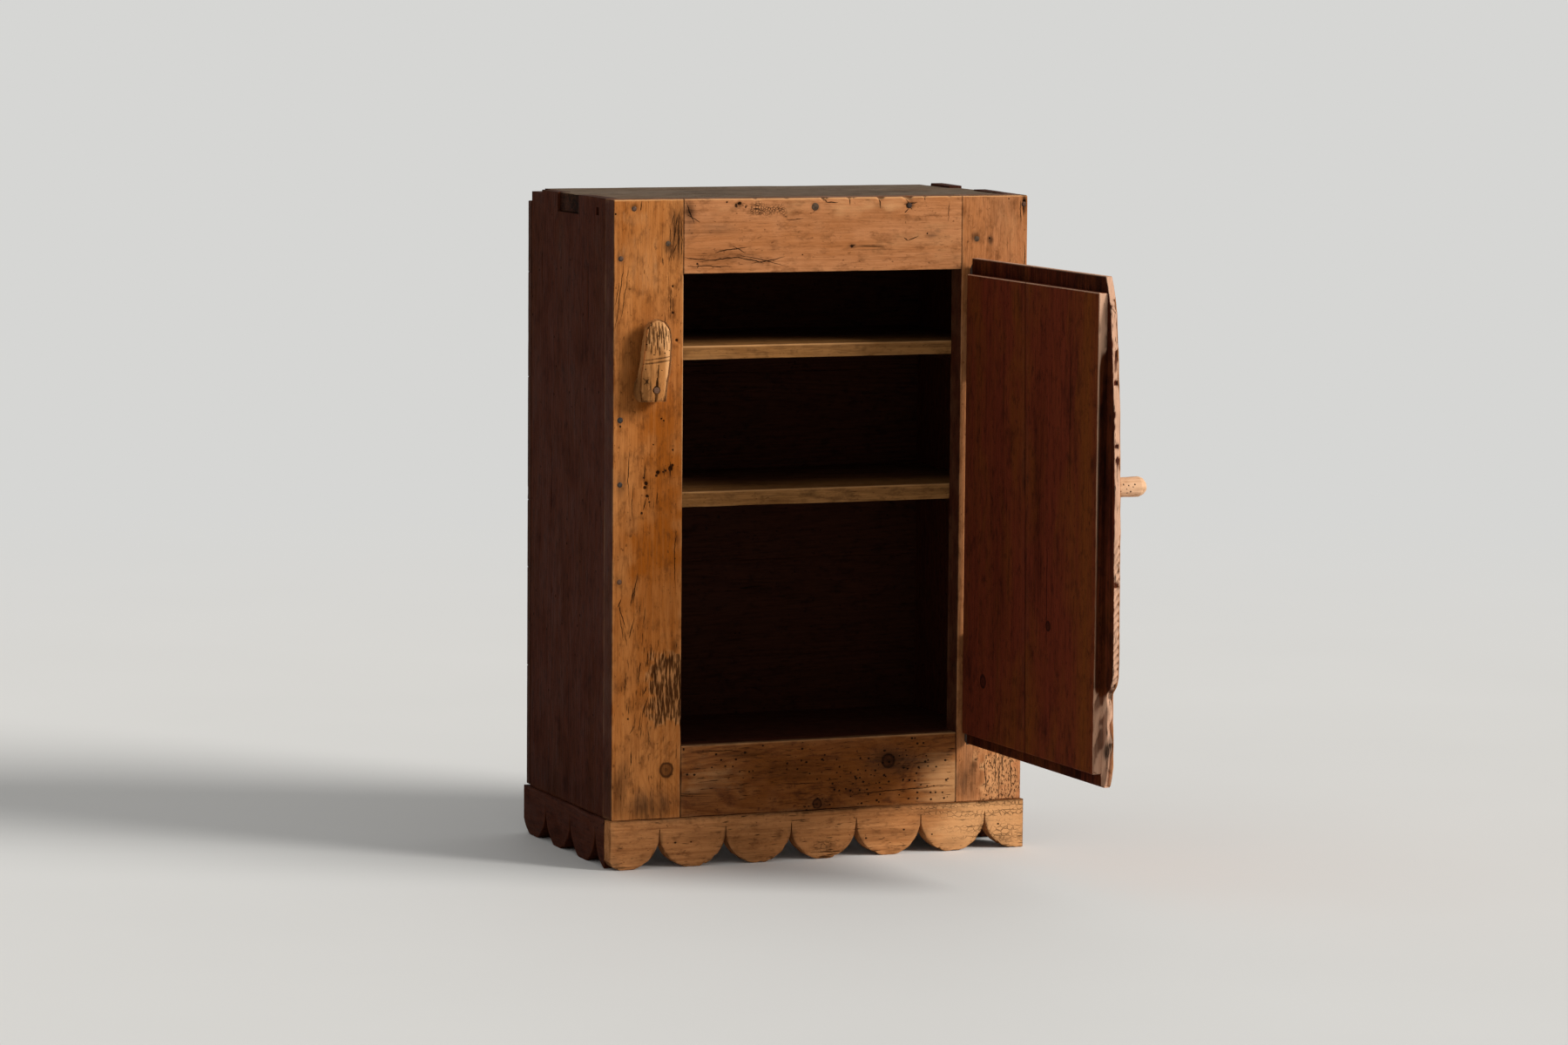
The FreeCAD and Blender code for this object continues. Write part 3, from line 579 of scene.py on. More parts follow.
def wood(name, pale, late, deep, amber, pith=(0.01, 0.05), tilt=0.03, ring=0.0046, figure=0.5, knots=(),
         rough=0.55, amber_share=0.5, deep_share=0.4, cracks=0.3, worms=0.0, shine=0.07, from_object=False,
         lines=(), dots=(), darks=(), greys=(), fleck=0.5, torn_size=(330, 38), web_size=(300, 190),
         depth=0.0011, away=SIDE, marked=FACE_DEPTH, bare=BARE_WOOD):
    """Old pine: rings about a pith behind the face, knots, fibres, patina, cracks and worm holes.
    lines, dots, darks and greys are marks on the cupboard's face, in millimetres from the left and the floor.
    away is the palette of the faces that the shade_swap mark turns (painted shade; on the door, the lit pine
    of its outer face), marked how deep the face's marks reach, bare the worn wood."""
    r = Recipe(name)
    if from_object:
        place = r.node("TexCoord").outputs["Object"]
    else:
        place = r.read("timber", vector=True)
    across, _, along = r.node("SeparateXYZ", {0: place}).outputs
    grime_and_shade = grime_and_shade_colour(deep)
    # shade_swap turns faces to the away palette: painted shade on faces turned from the light
    if away:
        shade_swap = r.read("shade_swap")
        pale = r.mix(shade_swap, pale, away["pale"])
        late = r.mix(shade_swap, late, away["late"])
        deep = r.mix(shade_swap, deep, away["deep"])
        amber = r.mix(shade_swap, amber, away["amber"])

    # How far each place is from the pith, which sways and leans along the board
    sway = r.vector("MULTIPLY", r.shake(place, (6, 6, 1.6), 2.0), (0.03, 0.012, 0.0))
    lean = r.math("MULTIPLY", r.math("PINGPONG", along, 1.1), tilt)
    lean = r.node("CombineXYZ", {"X": 0.0, "Y": lean, "Z": 0.0}).outputs[0]
    from_pith = r.vector("SUBTRACT", r.vector("ADD", place, sway), (pith[0], pith[1], 0.0))
    from_pith = r.stretch(r.vector("SUBTRACT", from_pith, lean), 1, 1, 0)
    bench, flat, drifted, at_front = face_places(r, marked)
    reach = r.vector("LENGTH", from_pith)
    knot_mask, knot_heart, reach = grown_knots(r, knots, drifted, at_front, reach)
    tone = growth_rings(r, from_pith, reach, ring)

    # The wood itself, from its broad blotches to its fibres
    streaks = r.noise(r.stretch(place, 170, 170, 4.5), 4.0, 0.62)
    fibres = r.noise(r.stretch(place, 620, 620, 14), 2.0, 0.6)
    flecks = r.noise(r.stretch(place, 330, 330, 30), 3.0, 0.6)
    bands = r.noise(r.stretch(place, 34, 34, 1.6), 2.0)
    blotch = r.noise(r.stretch(place, 9, 9, 3.4), 4.0, 0.6, 0.4)
    veil = r.noise(r.stretch(place, 22, 22, 10), 5.0, 0.68, 0.3)
    specks = r.noise(r.stretch(place, 150, 150, 90), 2.0, 0.7)
    mottle = r.noise(r.stretch(place, 75, 75, 40), 4.0, 0.68)
    torn_noise = r.noise(r.stretch(place, torn_size[0], torn_size[0], torn_size[1]), 2.0, 0.55)
    colour = r.mix(r.math("MULTIPLY", tone, figure), pale, late)
    colour = r.mix(r.between(streaks, 0.44, 0.74, 0.0, 0.5), colour, late)
    colour = r.mix(r.between(bands, 0.45, 0.75, 0.0, 0.35), colour, amber)
    blotched = r.between(blotch, 0.45, 0.7, 0.0, amber_share)
    amber_here = r.math("MAXIMUM", blotched, r.times(r.read("amber"), r.between(streaks, 0.2, 0.6, 0.6, 1.0)))
    colour = r.mix(amber_here, colour, amber)
    colour = r.mix(r.between(veil, 0.5, 0.78, 0.0, deep_share), colour, deep)
    colour = r.mix(r.between(mottle, 0.48, 0.72, 0.0, 0.55), colour, deep)
    colour = r.mix(r.between(flecks, 0.5, 0.72, 0.0, fleck), colour, deep)
    colour = r.mix(r.between(fibres, 0.4, 0.75, 0.0, 0.35), colour, late)
    colour = r.mix(r.between(specks, 0.64, 0.72, 0.0, 0.6), colour, deep)

    # Wear: paler where hands rub, browned or grey where they do not. The pale mark also holds painted
    # highlights and painted light, the grey mark a painted sheen, the dirt_and_shade mark painted shade.
    uneven = r.math("ADD", r.math("MULTIPLY", streaks, 0.5), r.math("MULTIPLY", veil, 0.5))

    def ragged(mark):
        """A mark's own strength, broken up by the grain."""
        lifted = r.math("MULTIPLY_ADD", r.math("SUBTRACT", uneven, 0.5), 1.6, mark)
        return r.times(r.between(lifted, 0.25, 0.8), r.between(mark, 0.0, 0.25))

    rub = r.times(r.read("arris"), r.between(r.noise(r.stretch(bench, 20, 20, 20), 4.0, 0.65), 0.38, 0.66))
    colour = r.mix(r.math("MULTIPLY", rub, 0.65), colour, r.mix(0.3, pale, bare))
    worn = r.read("pale")
    rubbed_and_lit = r.times(ragged(worn), r.between(worn, 0.2, 1.0, 0.45, 0.95))
    colour = r.mix(rubbed_and_lit, colour, r.mix(0.6, pale, bare))
    ridge = r.times(r.between(r.read("torn"), 0.3, 0.7, 0.0, 0.38), r.between(torn_noise, 0.54, 0.44))
    colour = r.mix(ridge, colour, r.mix(0.6, pale, bare))
    grey = highest(r, [face_smudge(r, flat, *mark) for mark in greys], r.read("grey"))
    grey = r.times(grey, r.between(uneven, 0.36, 0.62, 0.2, 0.8))
    colour = r.mix(grey, colour, GREY_STAIN)
    if knots:
        colour = r.mix(r.math("MULTIPLY", knot_mask, 0.6), colour, deep)
        colour = r.mix(r.math("MULTIPLY", knot_heart, 0.75), colour, BLACK_DIRT)
    # The dirt_and_shade mark: real grime, and painted shade where a board's marks put it
    dirt_and_shade = highest(r, [face_smudge(r, flat, *mark) for mark in darks], r.read("dirt_and_shade"))
    colour = r.mix(r.times(dirt_and_shade, r.between(uneven, 0.36, 0.62, 0.4, 0.95)), colour, grime_and_shade)

    # What goes below the surface: drying cracks, torn grain, crazing, worm holes, and the marks placed singly
    crack = drying_cracks(r, place, cracks)
    torn = r.times(r.between(r.math("MULTIPLY_ADD", r.read("torn"), 0.36, torn_noise), 0.7, 0.84), 0.85)
    web = r.stretch(place, web_size[0], web_size[0], web_size[1])
    web = r.cells(r.vector("ADD", web, r.stretch(sway, 60, 60, 60)), "DISTANCE_TO_EDGE")
    crazed = r.times(r.between(web.outputs["Distance"], 0.02, 0.11, 1.0, 0.0), ragged(r.read("crazed")))
    hole = worm_holes(r, place, across, along, worms, at_front)
    pit = r.math("MAXIMUM", r.math("MAXIMUM", crack, torn), r.math("MAXIMUM", crazed, hole))
    placed = highest(r, [face_line(r, drifted, *mark) for mark in lines])
    placed = highest(r, [face_dot(r, flat, *mark) for mark in dots], placed)
    if placed is not None:
        pit = r.math("MAXIMUM", pit, r.times(placed, at_front))
    colour = r.mix(r.math("MULTIPLY", pit, 0.9), colour, BLACK_DIRT)

    height = r.math("ADD", r.math("MULTIPLY", tone, 0.14), r.math("MULTIPLY", fibres, 0.3))
    height = r.math("ADD", height, r.math("MULTIPLY", streaks, 0.35))
    height = r.math("ADD", height, r.math("MULTIPLY", flecks, -0.25))
    height = r.math("ADD", height, r.math("MULTIPLY", mottle, 0.9))
    height = r.math("SUBTRACT", height, r.math("MULTIPLY", pit, 1.5))
    gloss = r.between(veil, 0.3, 0.75, rough - 0.09, rough + 0.14)
    gloss = r.math("ADD", gloss, r.math("MULTIPLY", pit, 0.3))
    return r.done(colour, gloss, r.relief(height, depth), specular=shine, ior=1.2)


def iron(name, bright=1.0, polished_over=0.0, polish_from=0.42):
    """Forged iron, dark brown-grey, with rust in the hollows of the hammer marks.
    polished_over is how far the wood's brown polish covers it, more on some nails than on others."""
    def tone(red, green, blue):
        return srgb(red * bright, green * bright, blue * bright)

    r = Recipe(name)
    place = r.node("TexCoord").outputs["Object"]
    hammer = r.noise(r.stretch(place, 120, 120, 120), 2.0)
    scale = r.noise(r.stretch(place, 420, 420, 420), 4.0, 0.65)
    rust = r.between(r.noise(r.stretch(place, 55, 55, 55), 4.0, 0.6), 0.45, 0.65)
    colour = r.mix(scale, tone(42, 37, 34), tone(72, 62, 55))
    colour = r.mix(r.math("MULTIPLY", rust, 0.6), colour, tone(84, 48, 29))
    if polished_over:
        cloud = r.noise(r.stretch(place, 11, 11, 11), 1.0)
        covered = r.between(cloud, polish_from, polish_from + 0.18, 0.0, polished_over)
        colour = r.mix(covered, colour, BROWN_POLISH)
    height = r.math("ADD", hammer, r.math("MULTIPLY", scale, 0.25))
    return r.done(colour, r.between(rust, 0.0, 1.0, 0.48, 0.8), r.relief(height, 0.0012), metallic=0.3)


def short_cracks(count, low, high, seed, upright=False):
    """Fine cracks of a dry board, mostly along the grain, within a rectangle of its face."""
    rng = np.random.default_rng(seed)
    cracks = []
    for _ in range(count):
        start = rng.uniform(low, high)
        run, rise = rng.uniform(10, 46), rng.normal(0, 4)
        if rng.random() < 0.3 and not upright:
            run, rise = rng.normal(0, 3), rng.uniform(8, 20)
        step = (abs(rise) + 0.08 * run, run) if upright else (run, rise)
        cracks.append((tuple(start), (start[0] + step[0], start[1] + step[1]), rng.uniform(0.8, 1.6)))
    return tuple(cracks)


stile_wood_left = wood(
    "left_stile_pine", **PINE, pith=(-0.02, 0.09), tilt=0.035, figure=0.3, knots=((96, 161.5, 13.5),),
    lines=(((18, 1000), (3, 890), 1.2), ((26, 985), (12, 905), 1.0), ((10, 965), (3, 930), 0.9),
           ((101, 672), (100, 646), 2.0), ((56, 668), (54, 640), 1.6), ((58, 612), (53, 592), 1.4),
           ((28, 690), (27, 612), 1.0), ((36, 640), (33, 575), 0.8), ((10, 440), (24, 400), 1.3),
           ((14, 420), (20, 380), 1.0), ((22, 395), (26, 370), 0.9), ((33, 172), (34, 198), 1.6),
           ((110, 560), (108, 470), 1.2), ((64, 230), (64, 205), 1.2), ((98, 1060), (99, 1012), 1.1),
           ((112, 1080), (112, 1000), 1.4), ((105, 1075), (106, 1030), 1.0), ((118, 1070), (117, 990), 1.2),
           ((100, 955), (97, 905), 1.2), ((103, 940), (101, 915), 1.0), ((48, 1097), (46, 1080), 1.4),
           *short_cracks(15, (8, 215), (66, 450), 5, upright=True),
           *short_cracks(5, (96, 985), (112, 1060), 8, upright=True)),
    dots=(((103, 958), 2.1), ((103, 915), 2.3), ((110, 870), 2.6), ((58, 637), 3.6), ((56, 630), 3.0),
          ((78, 654), 3.4), ((76, 649), 2.6), ((100.5, 660), 4.2), ((103, 665), 3.0), ((60, 616), 2.8),
          ((92, 657), 1.8), ((87, 655), 1.6), ((54, 646), 2.0), ((84, 742), 1.8), ((88, 739), 1.5),
          ((12, 731), 2.0),
          ((50, 588), 2.2), ((104, 691), 1.8), ((28, 250), 1.8), ((63, 606), 1.8), ((2, 1077), 2.0),
          ((70, 700), 1.3), ((109, 512), 1.4)),
    darks=(((34, 1088), (11, 9), 0.8), ((110, 1045), (14, 66), 0.7), ((62, 632), (12, 30), 0.4),
           ((86, 657), (26, 10), 0.4), ((18, 645), (12, 60), 0.4), ((110, 366), (9, 18), 0.9),
           ((108, 930), (12, 40), 0.3), ((96, 161), (22, 24), 0.5), ((13, 476), (14, 22), 0.5),
           ((60, 100), (60, 26), 0.6), ((12, 130), (22, 70), 0.5),
           ((112, 780), (10, 50), 0.35), ((92, 1023), (10, 14), 1.0), ((92, 1023), (8, 11), 1.0)),
    greys=(((92, 1023), (15, 22), 0.8), ((12, 1005), (11, 16), 0.7), ((12, 741), (10, 14), 0.6),
           ((13, 636), (13, 30), 0.7), ((110, 1055), (20, 70), 0.6), ((66, 108), (80, 40), 0.85),
           ((22, 150), (30, 70), 0.5)))
stile_wood_right = wood(
    "right_stile_pine", **RAIL, pith=(0.03, 0.07), tilt=0.03, figure=0.3, worms=0.02, torn_size=(330, 160),
    lines=(((729, 1100), (728, 1062), 2.6), ((722, 1090), (723, 1060), 1.0), ((731, 1020), (730, 960), 1.2),
           ((668, 150), (671, 100), 1.4), ((688, 175), (690, 110), 1.4), ((704, 190), (702, 120), 1.4),
           ((716, 160), (719, 95), 1.6), ((697, 150), (696, 90), 1.2)),
    dots=(((666, 1029), 1.6), ((700, 1094), 1.2), ((729, 1090), 3.0)),
    darks=(((641, 1031.5), (11, 13), 1.0), ((668, 1026), (8, 10), 0.6), ((649, 144), (9, 12), 0.6),
           ((728, 1088), (8, 22), 0.9), ((640, 120), (22, 44), 0.5)),
    greys=(((641, 1031), (12, 15), 1.0), ((668, 1026), (8, 15), 0.7), ((702, 1000), (7, 14), 0.6),
           ((628, 118), (20, 46), 0.8)))
rail_wood_top = wood(
    "top_rail_pine", **RAIL, pith=(0.015, 0.055), tilt=0.025, figure=0.24, deep_share=0.3, cracks=0.0,
    fleck=0.4,
    lines=(((176, 1012), (232, 1021), 1.6), ((206, 1022), (230, 1011), 1.2), ((150, 998), (228, 1005), 1.4),
           ((128, 991), (205, 989), 1.2), ((214, 1004), (262, 993), 1.6), ((240, 992), (300, 1004), 1.2),
           ((123, 1005), (165, 1001), 1.2), ((512, 1032), (519, 1026), 1.6), ((519, 1026), (536, 1033), 1.4),
           ((413, 1018), (424, 1020), 1.6), ((215, 1008), (300, 990), 1.0), ((122, 1097), (140, 1058), 1.6),
           ((126, 1075), (150, 1060), 1.2), ((366, 1100), (372, 1092), 1.8), ((368, 1093), (392, 1091), 1.6),
           ((412, 1100), (413, 1086), 1.3), ((467, 1100), (468, 1080), 1.8), ((514, 1097), (526, 1078), 1.8),
           ((510, 1088), (534, 1090), 1.8), ((520, 1080), (512, 1074), 1.4), ((548, 1100), (549, 1092), 1.2),
           ((300, 1064), (330, 1066), 0.8), ((590, 1058), (592, 1090), 0.9), ((143, 988), (146, 993), 1.6)),
    dots=(((213, 1088), 3.4), ((219, 1092), 3.0), ((520, 1085), 4.2), ((418, 1019), 2.6), ((145, 994), 2.0),
          ((553, 1038), 1.5), ((330, 1006), 1.3), ((196, 1094), 1.6), ((229, 1086), 1.8)),
    darks=(((216, 1089), (14, 8), 0.8), ((521, 1086), (14, 10), 0.7), ((130, 1080), (14, 22), 0.8),
           ((352, 1084), (13, 11), 0.5), ((418, 1019), (15, 6), 0.4), ((190, 1006), (90, 20), 0.35),
           ((250, 996), (60, 12), 0.35)),
    greys=(((352, 1084), (10, 9), 0.7), ((561, 1036), (18, 9), 0.7), ((572, 1042), (9, 6), 0.6),
           ((130, 1064), (22, 46), 0.6), ((418, 1019), (10, 6), 0.6), ((175, 1050), (60, 16), 0.45)))
rail_wood_bottom = wood(
    "bottom_rail_pine", **FOOT_RAIL, pith=(-0.01, 0.06), tilt=0.06, figure=0.62, cracks=0.2, amber_share=0.7,
    knots=((493, 158, 13), (365, 92, 9)),
    lines=(((140, 190), (230, 187), 1.0), ((300, 130), (380, 126), 0.9), ((420, 104), (600, 112), 1.1)),
    darks=(((234, 181), (60, 10), 0.7), ((205, 185), (34, 7), 0.6), ((497, 162), (44, 22), 0.6),
           ((520, 150), (60, 14), 0.4), ((365, 96), (40, 14), 0.5), ((330, 150), (120, 30), 0.4),
           ((420, 120), (90, 26), 0.3), ((150, 100), (50, 26), 0.35)),
    greys=(((502, 158), (80, 40), 0.7), ((160, 120), (60, 30), 0.4), ((365, 92), (40, 16), 0.4)))
side_wood = wood(
    "side_pine", **SIDE, pith=(0.03, 0.11), tilt=0.03, figure=0.4, rough=0.62, shine=0.05, bare=BARE_SIDE)
top_wood = wood(
    "top_pine", **TOP, pith=(0.04, 0.1), figure=0.6, rough=0.7, shine=0.05, deep_share=0.3,
    amber_share=0.3, cracks=0.8, worms=0.02)
skirt_wood = wood(
    "skirt_pine", **SKIRT, pith=(0.01, 0.05), tilt=0.02, figure=0.2, deep_share=0.4, worms=0.06, cracks=0.9,
    depth=0.0015, fleck=0.35, web_size=(160, 100),
    lines=(((346, 76), (352, 66), 1.0), ((352, 78), (366, 78), 1.0), ((366, 76), (368, 66), 1.0),
           ((300, 40), (330, 44), 1.0), ((440, 58), (520, 55), 1.0), ((560, 70), (640, 74), 1.2),
           ((622, 79), (670, 78), 0.9), ((670, 78), (671, 56), 0.9), ((600, 60), (612, 30), 1.0),
           ((690, 70), (735, 66), 1.2), ((120, 70), (180, 72), 1.0), ((20, 60), (60, 64), 1.0),
           ((480, 30), (505, 24), 1.2), ((250, 62), (300, 66), 0.9),
           *short_cracks(20, (470, 10), (720, 72), 4), *short_cracks(12, (10, 14), (460, 66), 9)),
    dots=(((610, 62), 1.6), ((388, 30), 1.6), ((36, 40), 1.6)),
    darks=(((372, 20), (34, 22), 0.5), ((560, 70), (60, 12), 0.35), ((610, 14), (40, 14), 0.35),
           ((500, 34), (90, 16), 0.3), ((700, 14), (34, 12), 0.4), ((60, 16), (50, 16), 0.35),
           ((260, 12), (60, 14), 0.35), ((150, 50), (80, 14), 0.25)),
    greys=(((2, 8), (18, 22), 1.0),))
side_skirt_wood = wood(
    "side_skirt_pine", **SIDE, pith=(0.01, 0.05), tilt=0.02, figure=0.3, worms=0.04, shine=0.05,
    bare=BARE_SIDE)
shelf_wood = wood(
    "shelf_pine", **SHELF, pith=(0.05, 0.09), figure=0.45, rough=0.5, cracks=0.2,
    lines=(((150, 603), (404, 605), 1.2), ((330, 606), (630, 610), 1.3), ((30, 600), (190, 602), 0.9),
           ((470, 602), (660, 606), 1.0), ((345, 606), (384, 607), 2.2), ((240, 846), (250, 842), 1.4),
           ((120, 841), (180, 842), 0.8)),
    dots=(((505, 849), 1.4), ((322, 842), 1.3), ((180, 846), 1.2), ((560, 844), 1.2)),
    darks=(((130, 845), (24, 12), 0.5), ((365, 606), (24, 7), 0.7), ((640, 604), (60, 14), 0.4)))
inside_wood = wood("inside_pine", **INSIDE, pith=(0.02, 0.08), figure=0.4, rough=0.66, shine=0.2)
back_wood = wood("back_pine", **INSIDE, pith=(0.03, 0.07), figure=0.5, rough=0.68, shine=0.2, cracks=0.7)
door_wood = wood(
    "door_pine", **DOOR, pith=(0.02, 0.10), tilt=0.03, figure=0.2, rough=0.5, cracks=0.3, deep_share=0.7,
    fleck=0.3, bare=srgb(246, 200, 166), amber_share=0.8, away=PINE, marked=DOOR_DEPTH,
    knots=((292, 422, 9), (535, 300, 12)),
    lines=(((225, 925), (220, 747), 2.2), ((224, 790), (219, 640), 1.2), ((470, 900), (466, 700), 1.0),
           ((300, 560), (297, 380), 1.0)),
    darks=(((330, 650), (40, 260), 0.4), ((480, 500), (50, 300), 0.35)))
peg_wood = wood("peg_pine", **PEG, ring=0.0014, pith=(0.0, 0.0), figure=0.8, cracks=1.0, away=None)
button_wood = wood(
    "turn_button_wood", **BUTTON, ring=0.004, pith=(0.01, 0.04), figure=0.5, worms=0.03, cracks=0.6,
    away=None,
    dots=(((50, 893), 1.3), ((66, 880), 1.2), ((83, 880), 1.1), ((47, 866), 1.0), ((58, 850), 1.0),
          ((77, 852), 1.2), ((86, 856), 0.9), ((44, 826), 1.0), ((72, 824), 0.9)))
hidden_wood = wood("hidden_pine", **INSIDE, from_object=True, away=None)
hinge_iron = iron("hinge_iron")
nail_iron = iron("nail_iron", 0.75, 0.8)
button_nail_iron = iron("turn_button_nail_iron", 0.7, 0.85, 0.1)


# The face frame

OPENING_BOTTOM = extent("bottom_rail")[1][2]
OPENING_TOP = extent("top_rail")[0][2]


def shade_sides(board):
    """Faces that do not face the front take the away tone, less so on top: painted shade. Upward faces at the
    very top are greyed: a painted sheen.
    """
    up = smooth(0.5, 0.8, board.normals[:, 2]) * (board.rest[:, 2] > HEIGHT - 4)
    board.stain("shade_swap", (1 - smooth(0.55, 0.8, -board.normals[:, 1])) * (1 - 0.55 * up))
    board.stain("grey", 0.9 * up)


def frame_board(low, high, steps, seed, radius, ragged, along, depth=0.35, **shape):
    """A board of the face frame: eased, planed along its grain, with painted shade on its faces other than
    the front.
    """
    board = Board.sawn(low, high, steps, seed, **shape)
    board.ease(radius, ragged)
    board.plane(along, depth)
    shade_sides(board)
    return board


def top_arris(board):
    """1 on the upper arris of the front, where a bright line is painted: a painted highlight on a worn edge.
    """
    return smooth(HEIGHT - 3.0, HEIGHT - 1.2, board.rest[:, 2]) * (board.rest[:, 1] < FRONT + 2.5)


def pits(board, places):
    """Small hollows in the front: (across, up), radius and depth."""
    for at, radius, depth in places:
        board.sink(depth * smooth(0.0, 0.7, board.spot("front", at, radius, 0.2, 3.0)))


def make_left_stile():
    low, high = extent("left_stile")
    stile = frame_board(low, high, (2.4, 30, 2.6), 1, 0.9, 1.8, along=2)
    pits(stile, (((34, 1088), 6, 1.0), ((103, 958), 3.4, 3), ((103, 915), 3.4, 3), ((110, 870), 3.6, 3),
                 ((58, 637), 5, 3.5), ((78, 654), 4.5, 3.5), ((100.5, 660), 6, 4), ((56, 629), 4.5, 3),
                 ((60, 616), 4, 3), ((84, 742), 3, 2), ((92, 1023), 7, 0.6), ((96, 161), 10, 0.8)))
    torn = stile.patch("front", (66, 240), (150, 358), 24, 0.5, 9)
    stile.stain("torn", 0.82 * torn)
    stile.sink(1.7 * torn * smooth(0.36, 0.66, stile.noise((4.8, 9, 22), 12)))
    stile.stain("dirt_and_shade", 0.15 * torn)
    stile.stain("torn", 0.3 * stile.patch("front", (10, 215), (90, 400), 50) * (1 - torn))
    stile.wash("torn", 0.3, (50, 575), (100, 690), 30)
    stile.wash("torn", 0.25, (60, 860), (121, 1060), 40)
    stile.wash("torn", 0.3, (0, 82), (121, 200), 60)
    stile.wash("amber", 0.95, (50, 500), (121, 800), 70)
    stile.wash("amber", 0.6, (20, 250), (121, 560), 80)
    # Darker left of the turn button: the button's painted shadow, with some dark patina
    stile.wash("dirt_and_shade", 0.35, (8, 748), (50, 886), 40)
    stile.wash("pale", 0.42, (10, 940), (100, 1085), 60)
    # Painted highlight on the worn upper arris
    stile.stain("pale", 0.9 * top_arris(stile))
    x, z = stile.rest[:, 0], stile.rest[:, 2]
    rubbed_arris = (x > high[0] - 1.6) * smooth(520, 640, z) * (z < OPENING_TOP - 1)
    stile.stain("pale", 0.6 * rubbed_arris)
    beside_rails = (x > high[0] - 1.5) * ((z > OPENING_TOP) | (z < OPENING_BOTTOM))
    stile.stain("dirt_and_shade", 0.7 * beside_rails)
    return build(stile, "left_stile", stile_wood_left, 2, 0)


def make_right_stile():
    low, high = extent("right_stile")
    leaves = [extent(name) for name in ("upper_hinge_frame_leaf", "lower_hinge_frame_leaf")]
    pin_low, pin_high = extent("upper_hinge_pin")
    bed_left = (pin_low[0] + pin_high[0]) / 2 - 2
    bed_right = leaves[0][1][0]
    bed_back = low[1] + 1.5

    def solid(x, y, z):
        """Wood everywhere but in the shallow beds of the hinge leaves."""
        kept = True
        for leaf_low, leaf_high in leaves:
            in_bed = (x > bed_left) & (x < bed_right) & (y < bed_back)
            kept = kept & ~(in_bed & (z > leaf_low[2]) & (z < leaf_high[2]))
        return kept

    bed_ends = [z for leaf_low, leaf_high in leaves for z in (leaf_low[2], leaf_high[2])]
    stile = frame_board(low, high, (2.6, 30, 2.8), 2, 0.9, 1.8, along=2, solid=solid, close=(0.9, 2.2, 4.5),
                        extra=((bed_left, bed_right), (bed_back,), bed_ends))
    pits(stile, (((641, 1031), 7, 0.6), ((729, 1090), 4, 3)))
    foot = stile.patch("front", (664, 82), (735, 195), 26, 0.9, 12)
    stile.stain("torn", 0.53 * foot)
    stile.sink(1.3 * foot * smooth(0.36, 0.66, stile.noise((5.4, 9, 8.4), 12)))
    stile.stain("pale", 0.35 * foot)
    stile.wash("pale", 0.25, (616, 82), (735, 230), 60)
    stile.wash("grey", 0.4, (616, 82), (652, 190), 40)
    split = stile.gash("front", (729, 1101), (728, 1064), 4.0, 1.0)
    stile.sink(3.0 * split)
    stile.wash("pale", 0.35, (690, 850), (735, 1070), 40)
    # Painted highlight on the worn upper arris
    stile.stain("pale", 0.9 * top_arris(stile))
    return build(stile, "right_stile", stile_wood_right, 2, 0)


def between_stiles(name):
    """A rail's extent without its tenons."""
    low, high = extent(name)
    low[0] = extent("left_stile")[1][0]
    high[0] = extent("right_stile")[0][0]
    return low, high


def dark_joints(rail):
    """Dirt where a rail meets the stiles."""
    x = rail.rest[:, 0]
    rail.stain("dirt_and_shade", 0.7 * ((x < rail.low[0] + 1.2) | (x > rail.high[0] - 1.2)))


def nick_top_edge(rail, across, wide, deep):
    """A chip out of the rail's upper front edge."""
    x, y, z = rail.rest.T
    notch = np.exp(-((x - LEFT - across) / wide) ** 4)
    edge = smooth(deep, 0, (HEIGHT - z) + (y - FRONT))
    rail.points[:, 2] -= deep * 0.45 * notch * edge
    rail.points[:, 1] += deep * 0.35 * notch * edge
    rail.stain("dirt_and_shade", 0.6 * notch * edge * (x - LEFT > across))


def make_top_rail():
    rail = frame_board(*between_stiles("top_rail"), (2.8, 30, 2.4), 3, 0.9, 1.4, along=0)
    for nick in ((366, 3.2, 7), (372, 2, 5), (412, 3.4, 5), (420, 2.4, 4), (467, 4.2, 8), (472, 3, 5),
                 (514, 5, 7), (521, 4, 9), (548, 3, 4), (300, 3, 3), (245, 2.4, 3), (160, 3, 3), (592, 3, 3)):
        nick_top_edge(rail, *nick)
    # Two nail holes, the seat of the thick peg, and a knot hole
    pits(rail, (((216, 1090), 7, 4.0), ((520, 1085), 7, 3.0), ((352, 1084), 9, 0.8), ((418, 1019), 4, 2.0)))
    rail.wash("crazed", 0.7, (232, 1070), (298, 1094), 16)
    rail.wash("pale", 0.45, (180, 1075), (560, 1100), 40)
    # Painted highlight on the worn upper arris
    rail.stain("pale", 0.9 * top_arris(rail))
    dark_joints(rail)
    rail.wash("amber", 0.45, (120, 1005), (420, 1060), 60)
    rail.wash("pale", 0.35, (430, 980), (616, 1060), 80)
    rail.wash("torn", 0.22, (125, 980), (300, 1014), 30)
    return build(rail, "top_rail", rail_wood_top, 0, 2)


